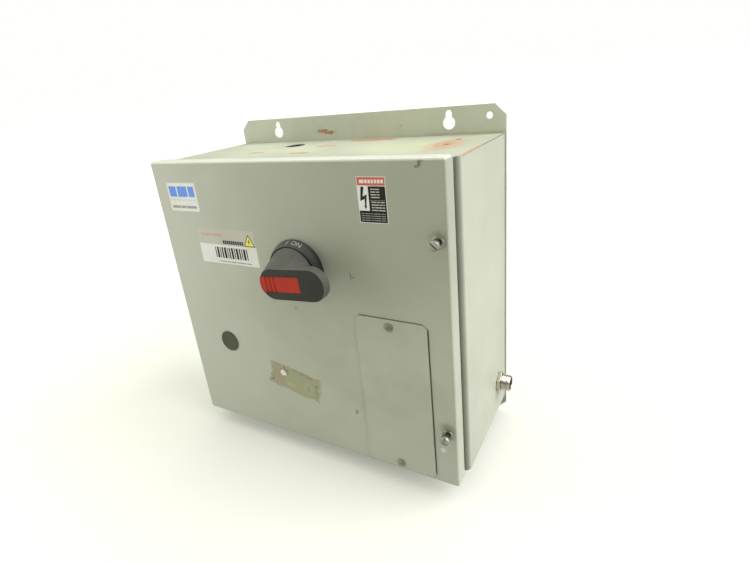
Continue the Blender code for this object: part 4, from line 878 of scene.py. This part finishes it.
# %% Red slide
GROOVE_R, GROOVE_RISE, FIRST_GROOVE, GROOVE_STEP = 1.7, 0.6, 9.4, 5.9
spread = math.degrees(math.asin(SLIDE_HALF / GRIP_R))
outline = arc((NOSE_X + GRIP_R, 0.0), GRIP_R, 180.0 - spread, 180.0 + spread, 16)
outline += [(SLIDE_END, -SLIDE_HALF), (SLIDE_END, SLIDE_HALF)]
slide = bmesh.new()
prism(slide, outline, GRIP_FRONT - SLIDE_DEEP, GRIP_FRONT)
for step in range(3):
    along = NOSE_X + FIRST_GROOVE + GROOVE_STEP * step
    groove = bmesh.new()
    bmesh.ops.create_cone(
        groove, cap_ends=True, segments=24, radius1=GROOVE_R * MM, radius2=GROOVE_R * MM,
        depth=40 * MM,
        matrix=Matrix.Translation((along * MM, 0, (GRIP_FRONT + GROOVE_RISE) * MM)) @ FACING)
    slide = combined(slide, groove, "DIFFERENCE")
piece("red_slide", slide, "padlock_slide", red, HANDLE, ["padlock_slide"],
      soften=0.35)

# %% [markdown]
# ### Bezel and its marks
#
# The bezel is a ring on the door with a wall that swells towards its foot. One spin of its
# cross-section makes it. It carries the two positions of the switch: a stroke and ON at the
# top, a ring and OFF at the left. Blender's own font gives the letters. They are made a mesh,
# and each point is wrapped round the bezel's wall.

# %% Bezel
WALL = [(32.4, 12.2), (33.4, 11.3), (34.2, 10.0), (35.1, 8.2), (35.9, 6.2), (36.6, 4.2),
        (37.0, 2.5)]
BEZEL_TOP = [(31.1, 7.0), (31.1, 11.4), (31.6, 12.2)]
BEZEL_FOOT = [(37.0, 0.3), (12.6, 0.3), (12.6, 7.0)]
piece("bezel_ring", turned(BEZEL_TOP + WALL + BEZEL_FOOT, 96, closed=True), DOOR, charcoal,
      ON_DOOR, ["handle_bezel"], sharp=30.0)

# %% Switch marks on the bezel
MARK_SIZE, MARK_MIDDLE, MARK_SQUASH, MARK_THICK, MARK_LIFT = 8.6, 9.8, 0.9, 0.12, 0.05


def wall_radius(height):
    """The bezel's outer radius at a height above the door, in millimetres."""
    for (near, high), (far, low) in zip(WALL, WALL[1:]):
        if low <= height <= high:
            return near + (far - near) * (high - height) / (high - low)
    return WALL[-1][0]


def letters(text):
    """A word as a thin closed mesh, centred, in millimetres."""
    curve = bpy.data.curves.new("word", "FONT")
    curve.body = text
    curve.size = MARK_SIZE
    curve.extrude = MARK_THICK
    curve.align_x = "CENTER"
    curve.resolution_u = 4
    holder = bpy.data.objects.new("word", curve)
    bpy.context.scene.collection.objects.link(holder)
    made = as_seen(holder)
    bpy.data.objects.remove(holder, do_unlink=True)
    bmesh.ops.remove_doubles(made, verts=made.verts, dist=MM)
    return made


marks = bmesh.new()
for text, angle in (("I  ON", 80.5), ("O  OFF", 175.0)):
    word = letters(text)
    for vert in word.verts:
        across, up, out_by = vert.co
        height = MARK_MIDDLE - up * MARK_SQUASH
        radius = wall_radius(height)
        turn = math.radians(angle) - across / radius
        lift = radius + MARK_LIFT + out_by
        vert.co = Vector((lift * math.cos(turn), lift * math.sin(turn), height)) * MM
    add_to(marks, word)
bmesh.ops.recalc_face_normals(marks, faces=marks.faces)
mark_paint = simple_finish("mark_paint", (0.30, 0.30, 0.26), (0.40, 0.40, 0.35), (0.5, 0.6),
                           speck=0.5)
piece("switch_marks", marks, DOOR, mark_paint, ON_DOOR)

# %% [markdown]
# ## Door screws
#
# The two door screws stand half undone, so their threads show. A thread this fine reads well
# as a stack of grooves, and a stack can be turned in one spin with the rest of the screw. Each
# sits in a dished retainer that keeps it on the door. The head is worn bright and the thread
# is dark with grease.

# %% Tools for screws
def thread(radius, start, end, pitch, depth):
    """The zigzag outline of a thread, from one height down to another."""
    points = []
    for turn in range(int((start - end) / pitch)):
        height = start - turn * pitch
        points += [(radius - depth, height), (radius, height - pitch / 2)]
    return points


def cut_slot(bm, top, width, depth, angle):
    """A screwdriver slot across a head."""
    tool = bmesh.new()
    box(tool, (-15, -width / 2, top - depth), (15, width / 2, top + 1))
    bmesh.ops.rotate(tool, verts=tool.verts, matrix=Matrix.Rotation(math.radians(angle), 3, "Z"))
    return combined(bm, tool, "DIFFERENCE")


def on_front(source):
    """The place of a round node on the door's front, facing forwards."""
    middle, _ = middle_and_half(source)
    return Matrix.Translation((middle.x, DOOR_FRONT, middle.z)) @ FACING


# %% Door screws and their retainers
HEAD_TOP, HEAD_FOOT, SHANK_R, TIP = 13.0, 9.0, 3.1, -20.0
RING = [(3.6, 0.9), (5.65, 0.9), (5.7, 1.9), (5.85, 2.2), (6.0, 2.1), (6.1, 1.2), (6.5, 1.0),
        (6.6, 0.7), (6.6, 0.3), (3.6, 0.3)]
for which, angle in (("upper", -42.0), ("lower", 78.0)):
    source = f"captive_screw_{which}"
    place = on_front(source)
    head = rounded([(0.0, HEAD_TOP), (5.4, HEAD_TOP), (5.4, HEAD_FOOT), (SHANK_R, HEAD_FOOT)], 0.9)
    shank = thread(SHANK_R, HEAD_FOOT - 0.1, TIP + 1, 1.27, 0.42)
    screw = cut_slot(turned(head + shank + [(2.3, TIP), (0.0, TIP)], 48), HEAD_TOP, 1.3, 1.8, angle)
    for face in screw.faces:
        face.material_index = 0 if face.calc_center_median().z > (HEAD_FOOT + 0.3) * MM else 1
    piece(f"door_screw_{which}", screw, source, [screw_steel, greasy_steel], place, [source],
          soften=0.15)
    piece(f"screw_retainer_{which}", turned(RING, 48, closed=True), DOOR, ring_steel, place,
          [f"screw_cup_{which}"])

# %% [markdown]
# ## Cover plate and hole plug
#
# A flat plate with cut corners covers the lower right of the door, held by two dull pan-head
# screws. It is a prism with two holes cut through it, and its edge is softened so that it
# shows against the door. Further left, a plastic plug closes a hole that once held a push
# button: one spin, with a flat face and a thin rim.

# %% Cover plate
CHAMFER, PLATE_BACK, PLATE_FRONT, PLATE_HOLE = 5.3, 0.3, 1.8, 2.3
cut_x, cut_z = half_x - CHAMFER, half_z - CHAMFER
plate = bmesh.new()
prism(plate, [(-cut_x, -half_z), (cut_x, -half_z), (half_x, -cut_z), (half_x, cut_z),
              (cut_x, half_z), (-cut_x, half_z), (-half_x, cut_z), (-half_x, -cut_z)],
      PLATE_BACK, PLATE_FRONT)
for which in BOTH:
    middle, _ = middle_and_half(f"cover_screw_{which}")
    hole = turned([(0.0, 4.0), (PLATE_HOLE, 4.0), (PLATE_HOLE, -2.0), (0.0, -2.0)], 32)
    bmesh.ops.translate(hole, verts=hole.verts,
                        vec=(middle.x - plate_x * MM, middle.z - plate_z * MM, 0))
    plate = combined(plate, hole, "DIFFERENCE")
piece("access_plate", plate, DOOR, door_enamel,
      Matrix.Translation((plate_x * MM, DOOR_FRONT, plate_z * MM)) @ FACING, ["cover_plate"],
      soften=0.45)

# %% Its screws and the hole plug
PAN_HEAD = rounded([(0.0, 4.3), (2.6, 4.2), (4.0, 3.1), (4.0, 2.1), (2.0, 2.1)], 0.7)
for which, angle in (("upper", 35.0), ("lower", 20.0)):
    source = f"cover_screw_{which}"
    screw = turned(PAN_HEAD + thread(2.0, 2.0, -7.0, 0.9, 0.3) + [(1.5, -8.0), (0.0, -8.0)], 40)
    screw = cut_slot(screw, 4.3, 1.1, 1.0, angle)
    piece(f"plate_screw_{which}", screw, DOOR, grimy_steel, on_front(source), [source],
          soften=0.1)
PLUG = rounded([(0.0, 1.35), (13.2, 1.45), (14.3, 1.7), (15.2, 1.0), (15.2, 0.3), (11.0, 0.3),
                (11.0, -5.0), (10.0, -6.0), (0.0, -6.0)], 0.4)
piece("plug_disc", turned(PLUG, 72), DOOR, plug_plastic, on_front("hole_plug"), ["hole_plug"])

# %% [markdown]
# ## Connector
#
# The connector on the right side is a threaded metal shell with a hex nut outside the sheet.
# Inside the shell a moulded insert holds the contact pins. A hexagon cut by a turned shape
# with sloping ends gives the nut the rounded corners that a lathe leaves.

# %% Shell
nut_middle, _ = middle_and_half("receptacle_nut")
OUTWARDS = Matrix.Translation((side_high.x, nut_middle.y, nut_middle.z)) @ SIDEWAYS
MOUTH = [(0.0, 6.0), (8.4, 6.0), (8.4, 16.2), (8.7, 16.5), (9.8, 16.5), (10.3, 16.0)]
NECK = [(10.3, 5.0), (10.8, 4.9), (10.8, -1.8), (13.2, -1.8), (13.2, -5.0), (8.8, -5.0),
        (8.8, -12.0), (0.0, -12.0)]
piece("connector_shell", turned(MOUTH + thread(10.8, 15.6, 5.2, 1.7, 0.8) + NECK, 72), CASE,
      nickel, OUTWARDS, ["receptacle_shell"])

# %% Nut
NUT_FLATS, NUT_LOW, NUT_HIGH = 12.7, 0.3, 4.8
NUT_CONES = [(0.0, 5.2), (12.3, 5.2), (14.9, 3.7), (14.9, 1.4), (12.3, -0.1), (0.0, -0.1)]
nut = bmesh.new()
prism(nut, arc((0, 0), NUT_FLATS / math.cos(math.pi / 6), 0.0, 300.0, 5), NUT_LOW, NUT_HIGH)
nut = combined(nut, turned(NUT_CONES, 72), "INTERSECT")
nut = combined(nut, turned([(0.0, 8.0), (11.1, 8.0), (11.1, -3.0), (0.0, -3.0)], 48), "DIFFERENCE")
piece("connector_nut", nut, CASE, nickel, OUTWARDS, ["receptacle_nut"], soften=0.25)

# %% Insert and pins
PINS, PIN_CIRCLE = 5, 4.6
insert = turned(rounded([(0.0, 8.2), (8.2, 8.2), (8.2, 6.05), (0.0, 6.05)], 0.3), 48)
piece("connector_insert", insert, CASE, black_moulding, OUTWARDS)
pins = bmesh.new()
for x, y in arc((0, 0), PIN_CIRCLE * MM, 90.0, 450.0, PINS)[:PINS]:
    pin = turned(rounded([(0.0, 14.0), (0.9, 14.0), (0.9, 8.1), (0.0, 8.1)], 0.5), 20)
    bmesh.ops.translate(pin, verts=pin.verts, vec=(x, y, 0))
    add_to(pins, pin)
piece("connector_pins", pins, CASE, brass, OUTWARDS)

# %% [markdown]
# ## Labels
#
# Three labels stick to the door. Their print is left generic: plain bars stand for words.
# Each label is a thin film with its print as slightly raised blocks of ink, so every edge is
# crisp in any light. Places are in millimetres on the door, from the middle of the bare model.

# %% Label films and inks
SATIN = (0.36, 0.46)
film_white = simple_finish("film_white", (0.66, 0.66, 0.58), (0.74, 0.74, 0.67), (0.34, 0.46),
                           speck=0.1)
film_grey = simple_finish("film_grey", (0.44, 0.425, 0.345), (0.50, 0.485, 0.40), (0.36, 0.48),
                          speck=0.1)
ink_blue = simple_finish("ink_blue", (0.055, 0.20, 0.66), (0.085, 0.27, 0.78), SATIN, speck=0.3)
ink_red = simple_finish("ink_red", (0.52, 0.075, 0.035), (0.62, 0.11, 0.060), SATIN, speck=0.3)
ink_faint_red = simple_finish("ink_faint_red", (0.50, 0.29, 0.25), (0.56, 0.36, 0.31), (0.4, 0.5),
                              speck=0.3)
ink_black = simple_finish("ink_black", (0.010, 0.010, 0.008), (0.020, 0.020, 0.016), (0.5, 0.6),
                          speck=0.2, shine=0.15)
ink_grey = simple_finish("ink_grey", (0.24, 0.24, 0.20), (0.32, 0.32, 0.28), (0.4, 0.5), speck=0.3)
ink_yellow = simple_finish("ink_yellow", (0.74, 0.70, 0.050), (0.82, 0.78, 0.09), SATIN, speck=0.3)

# %% Printing tools
FILM_BACK, FILM = 0.02, 0.15
INK_LOW, BLOCK_INK, SHAPE_INK, OVERPRINT = FILM - 0.05, FILM + 0.04, FILM + 0.06, 0.04
LABELS = Matrix.Translation((0, DOOR_FRONT, 0)) @ FACING


def ink_verts(verts, ink):
    for vert in verts:
        for face in vert.link_faces:
            face.material_index = ink


def film(bm, left, bottom, right, top, ink=0):
    ink_verts(box(bm, (left, bottom, FILM_BACK), (right, top, FILM)), ink)


def block(bm, left, bottom, right, top, ink, high=BLOCK_INK):
    """A rectangle of ink."""
    ink_verts(box(bm, (left, bottom, INK_LOW), (right, top, high)), ink)


def figure(bm, points, ink, high=SHAPE_INK):
    """An outline filled with ink."""
    ink_verts(prism(bm, points, INK_LOW, high), ink)
    bmesh.ops.recalc_face_normals(bm, faces=bm.faces)


def words(bm, left, right, bottom, height, ink, pattern, gap=0.8, lift=0.0):
    """A row of bars that stands for a line of small print."""
    room = (right - left) - gap * (len(pattern) - 1)
    x = left
    for width in pattern:
        run = room * width / sum(pattern)
        block(bm, x, bottom, x + run, bottom + height, ink, BLOCK_INK + lift)
        x += run + gap


# %% Maker's label, top left
label = bmesh.new()
film(label, -180.4, 127.6, -128.0, 164.5)
words(label, -177.0, -131.5, 146.5, 13.5, 1, (3, 4, 2.4), 2.2)
block(label, -177.5, 142.2, -131.0, 142.5, 2)
words(label, -177.0, -132.5, 131.6, 3.4, 2, (5, 3, 6), 1.2)
piece("maker_label", label, DOOR, [film_white, ink_blue, ink_grey], LABELS)

# %% Asset label, beside the handle
BARS, BAR_GAP = (1.5, 3.2, 1.5, 2.4, 3.6, 1.5, 2.0, 3.2, 1.5, 3.4, 2.2, 1.5, 3.4, 1.5), 1.75
label = bmesh.new()
film(label, -142.2, 59.7, -43.9, 85.6)
film(label, -142.2, 85.7, -43.9, 106.4, 1)
words(label, -135.0, -98.0, 96.6, 3.6, 2, (2, 5, 3, 4), 1.0)
words(label, -99.0, -64.5, 87.0, 4.8, 3, (1,) * 10, 0.9)
left = -115.5
for width in BARS:
    block(label, left, 67.6, left + width, 82.2, 3)
    left += width + BAR_GAP
words(label, -112.0, -56.0, 62.3, 1.3, 4, (6, 2, 5, 7, 4), 1.2)
figure(label, [(-63.2, 86.2), (-45.4, 86.2), (-54.3, 102.0)], 3)
figure(label, [(-61.6, 87.1), (-47.0, 87.1), (-54.3, 100.0)], 5, SHAPE_INK + 0.03)
figure(label, [(-55.3, 88.2), (-52.7, 92.6), (-54.1, 93.0), (-52.9, 97.0), (-56.1, 92.2),
               (-54.5, 91.8)], 3, SHAPE_INK + 0.06)
piece("asset_label", label, DOOR,
      [film_white, film_grey, ink_faint_red, ink_black, ink_grey, ink_yellow], LABELS)

# %% Safety label, top right
LINES = ((3, 4), (3, 2), (5, 2), (4,), (3, 2, 2), (5, 2, 1), (2, 5, 2), (4, 4))
LINE_STEP, PARAGRAPH = 2.75, 2.2
label = bmesh.new()
film(label, 108.2, 125.9, 141.0, 173.6)
block(label, 108.8, 164.6, 140.3, 172.9, 1)
words(label, 111.5, 138.5, 166.9, 3.6, 0, (2, 1, 1, 1, 1, 1, 1), 0.9, OVERPRINT)
block(label, 120.9, 126.6, 140.3, 163.9, 2)
block(label, 108.8, 126.6, 120.9, 138.7, 2)
for row, pattern in enumerate(LINES):
    right, down = (133.5, 0.0) if row < 4 else (138.6, PARAGRAPH)
    words(label, 123.6, right, 160.4 - LINE_STEP * row - down, 1.1, 3, pattern, 0.7, OVERPRINT)
block(label, 122.0, 149.5, 139.2, 149.8, 4, FILM + 0.08)
for row in range(4):
    words(label, 110.6, 138.6, 135.4 - 2.3 * row, 0.7, 4, (3, 5, 2, 6, 4), 0.7, OVERPRINT)
figure(label, [(112.6, 163.3), (116.2, 163.3), (113.9, 153.2), (118.9, 155.8), (117.4, 143.6),
               (118.3, 143.9), (116.4, 140.2), (114.9, 144.4), (115.9, 144.2), (116.1, 151.0),
               (110.9, 148.6)], 2)
piece("safety_label", label, DOOR, [film_white, ink_red, ink_black, film_grey, ink_grey], LABELS)

# %% [markdown]
# ## Fuses
#
# A cartridge fuse is a fibre tube between two brass ferrules, with a paper sleeve and a
# coloured band round it. Tube, ferrules and sleeve are turned apart, so that each has its own
# finish and a real step between them.

# %% Fuses
TUBE_R, CAP_R, CAP_LENGTH, CAP_WALL = 12.8, 13.5, 16.0, 1.2
SLEEVE = [(12.75, 10.0), (12.95, 10.0), (12.95, -10.0), (12.75, -10.0)]
BAND = [(12.9, 7.6), (13.05, 7.6), (13.05, 4.6), (12.9, 4.6)]
for pole in POLES:
    middle, sides = middle_and_half(f"fuse_{pole}")
    end = sides.z / MM
    place = Matrix.Translation(middle)
    tube = turned([(0.0, end - 2), (TUBE_R, end - 2), (TUBE_R, 2 - end), (0.0, 2 - end)], 64)
    piece(f"fuse_tube_{pole}", tube, CASE, fibre, place)
    lip = TUBE_R + 0.02
    cap_outline = rounded([(0.0, end), (CAP_R, end), (CAP_R, end - CAP_LENGTH),
                           (lip, end - CAP_LENGTH)], 0.9)
    cap_outline += [(lip, end - CAP_WALL), (0.0, end - CAP_WALL)]
    caps, other = turned(cap_outline, 64), turned(cap_outline, 64)
    bmesh.ops.rotate(caps, verts=caps.verts, matrix=Matrix.Rotation(math.pi, 3, "X"))
    add_to(caps, other)
    piece(f"fuse_caps_{pole}", caps, CASE, brass, place, [f"fuse_{pole}"])
    piece(f"fuse_sleeve_{pole}", turned(SLEEVE, 64, closed=True), CASE, film_white, place)
    piece(f"fuse_band_{pole}", turned(BAND, 64, closed=True), CASE, ink_blue, place)

# %% [markdown]
# ## Lugs
#
# Wires end in box lugs: an aluminium block with a hole from end to end and a slotted clamping
# screw in front. Block, hole and screw are joined into one closed shape, and the screw's
# faces then take the zinc finish.

# %% Lugs
LUG, WIRE_HOLE, WIRE_DEPTH, CLAMP_TOP, CLAMP_R = 18.0, 4.0, 8.1, 20.4, 4.0
LUG_SOFT = 0.9


def lug(source, name):
    low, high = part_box(source)
    body = bmesh.new()
    box(body, (-LUG / 2, -LUG / 2, 0), (LUG / 2, LUG / 2, LUG))
    bmesh.ops.bevel(body, geom=list(body.edges), offset=LUG_SOFT * MM, segments=2, profile=0.5,
                    affect="EDGES", material=-1)
    wire = turned([(0, LUG), (WIRE_HOLE, LUG), (WIRE_HOLE, -LUG), (0, -LUG)], 40)
    bmesh.ops.transform(wire, verts=wire.verts,
                        matrix=Matrix.Translation((0, 0, WIRE_DEPTH * MM)) @ FACING)
    body = combined(body, wire, "DIFFERENCE")
    clamp = turned([(0, CLAMP_TOP), (CLAMP_R - 0.6, CLAMP_TOP), (CLAMP_R, CLAMP_TOP - 0.7),
                    (CLAMP_R, LUG - 1), (0, LUG - 1)], 40)
    body = combined(body, cut_slot(clamp, CLAMP_TOP, 1.4, 1.5, 25.0), "UNION")
    for face in body.faces:
        face.material_index = 1 if face.calc_center_median().z > (LUG + 0.05) * MM else 0
    place = Matrix.Translation(((low.x + high.x) / 2, high.y, (low.z + high.z) / 2)) @ FACING
    piece(name, body, CASE, [tinned, zinc], place, [source])


for pole in POLES:
    lug(f"line_lug_{pole}", f"line_terminal_{pole}")
    lug(f"load_lug_{pole}", f"load_terminal_{pole}")
lug("ground_lug", "ground_terminal")

# %% [markdown]
# ## Floor
#
# The switch stands on a plain pale floor that runs out of sight. A bright floor would throw
# too much light back up under the box, so the floor is a little brighter to the eye than to
# the bounced light.

# %% Floor
FLOOR_RADIUS, FLOOR_GAP, FLOOR_GRAIN, FLOOR_ROUGHNESS = 60.0, 0.2 * MM, 60.0, 0.75
FLOOR_LIFT, FLOOR_GLOW = (1.0, 1.0, 0.86, 1), 0.28
disc = bmesh.new()
bmesh.ops.create_circle(disc, cap_ends=True, segments=96, radius=FLOOR_RADIUS,
                        matrix=Matrix.Translation((0, 0, bare_low.z - FLOOR_GAP)))
floor = as_object("floor", disc)
paper, tree, surface, place = start_finish("floor_paper", FLOOR_ROUGHNESS)
tone = use_group(tree, GRAIN, {"Place": place, "Scale": FLOOR_GRAIN})["Tone"]
seen = node(tree, "LightPath").outputs["Is Camera Ray"]
bounced = blend(tree, tone, (0.44, 0.44, 0.41, 1), (0.46, 0.46, 0.44, 1))
shown = blend(tree, tone, (0.46, 0.46, 0.41, 1), (0.49, 0.49, 0.44, 1))
tree.links.new(blend(tree, seen, bounced, shown), surface.inputs["Base Color"])
surface.inputs["Emission Color"].default_value = FLOOR_LIFT
tree.links.new(times(tree, seen, FLOOR_GLOW), surface.inputs["Emission Strength"])
floor.data.materials.append(paper)

# %% [markdown]
# ## Light
#
# The light is that of a white tent. A broad sun, soft as a cloud, comes from the right and
# above. The sky is brightest overhead and towards the left wall, whose sheen runs over the
# door's far side. A weak panel near the floor lifts the lower left corner.

# %% Sun and panel
SUN_ENERGY, SUN_SPREAD, SUN_COLOUR = 3.7, math.radians(60.0), (1.0, 1.0, 1.09)
SUN_FROM = Vector((1.0, 0.2, 0.75))
PANEL_SIZE, PANEL_WATTS = 0.5, 1.0
PANEL_AT, PANEL_AIM = Vector((-0.75, -0.75, -0.05)), Vector((-0.2, -0.19, -0.1))


def add_light(name, kind, energy, turn):
    lamp = bpy.data.lights.new(name, kind)
    lamp.energy = energy
    holder = bpy.data.objects.new(name, lamp)
    holder.rotation_euler = turn.to_euler()
    bpy.context.scene.collection.objects.link(holder)
    return holder


sun = add_light("soft_sun", "SUN", SUN_ENERGY, SUN_FROM.to_track_quat("Z", "Y"))
sun.data.angle = SUN_SPREAD
sun.data.color = SUN_COLOUR
panel = add_light("corner_panel", "AREA", PANEL_WATTS,
                  (PANEL_AIM - PANEL_AT).to_track_quat("-Z", "Y"))
panel.data.shape = "SQUARE"
panel.data.size = PANEL_SIZE
panel.location = PANEL_AT

# %% Sky
SKY_COLOUR, BACKDROP = (0.99, 1.0, 0.93, 1), (1.0, 1.0, 0.99, 1)
world = bpy.data.worlds.new("white_tent")
world.use_nodes = True
sky = world.node_tree
towards = node(sky, "TexCoord").outputs["Generated"]


def glow(direction, low, high, strength):
    """Light that grows towards one direction of the sky."""
    aligned = vector_maths(sky, "DOT_PRODUCT", towards, Vector(direction).normalized())["Value"]
    return times(sky, between(sky, aligned, low, high), strength)


overhead = glow((0.0, 0.2, 1.0), 0.2, 1.0, 1.67)
left_wall = glow((-1.0, -0.45, 0.1), 0.75, 0.97, 3.1)
background = sky.nodes["Background"]
background.inputs["Color"].default_value = SKY_COLOUR
sky.links.new(maths(sky, "ADD", overhead, left_wall), background.inputs["Strength"])
backdrop = node(sky, "Background", {"Color": BACKDROP, "Strength": 1.0})
direct = node(sky, "LightPath").outputs["Is Camera Ray"]
both = node(sky, "MixShader", {0: direct, 1: background.outputs[0], 2: backdrop.outputs[0]})
sky.links.new(both.outputs[0], sky.nodes["World Output"].inputs["Surface"])
bpy.context.scene.world = world
bpy.context.scene.view_settings.view_transform = "Standard"
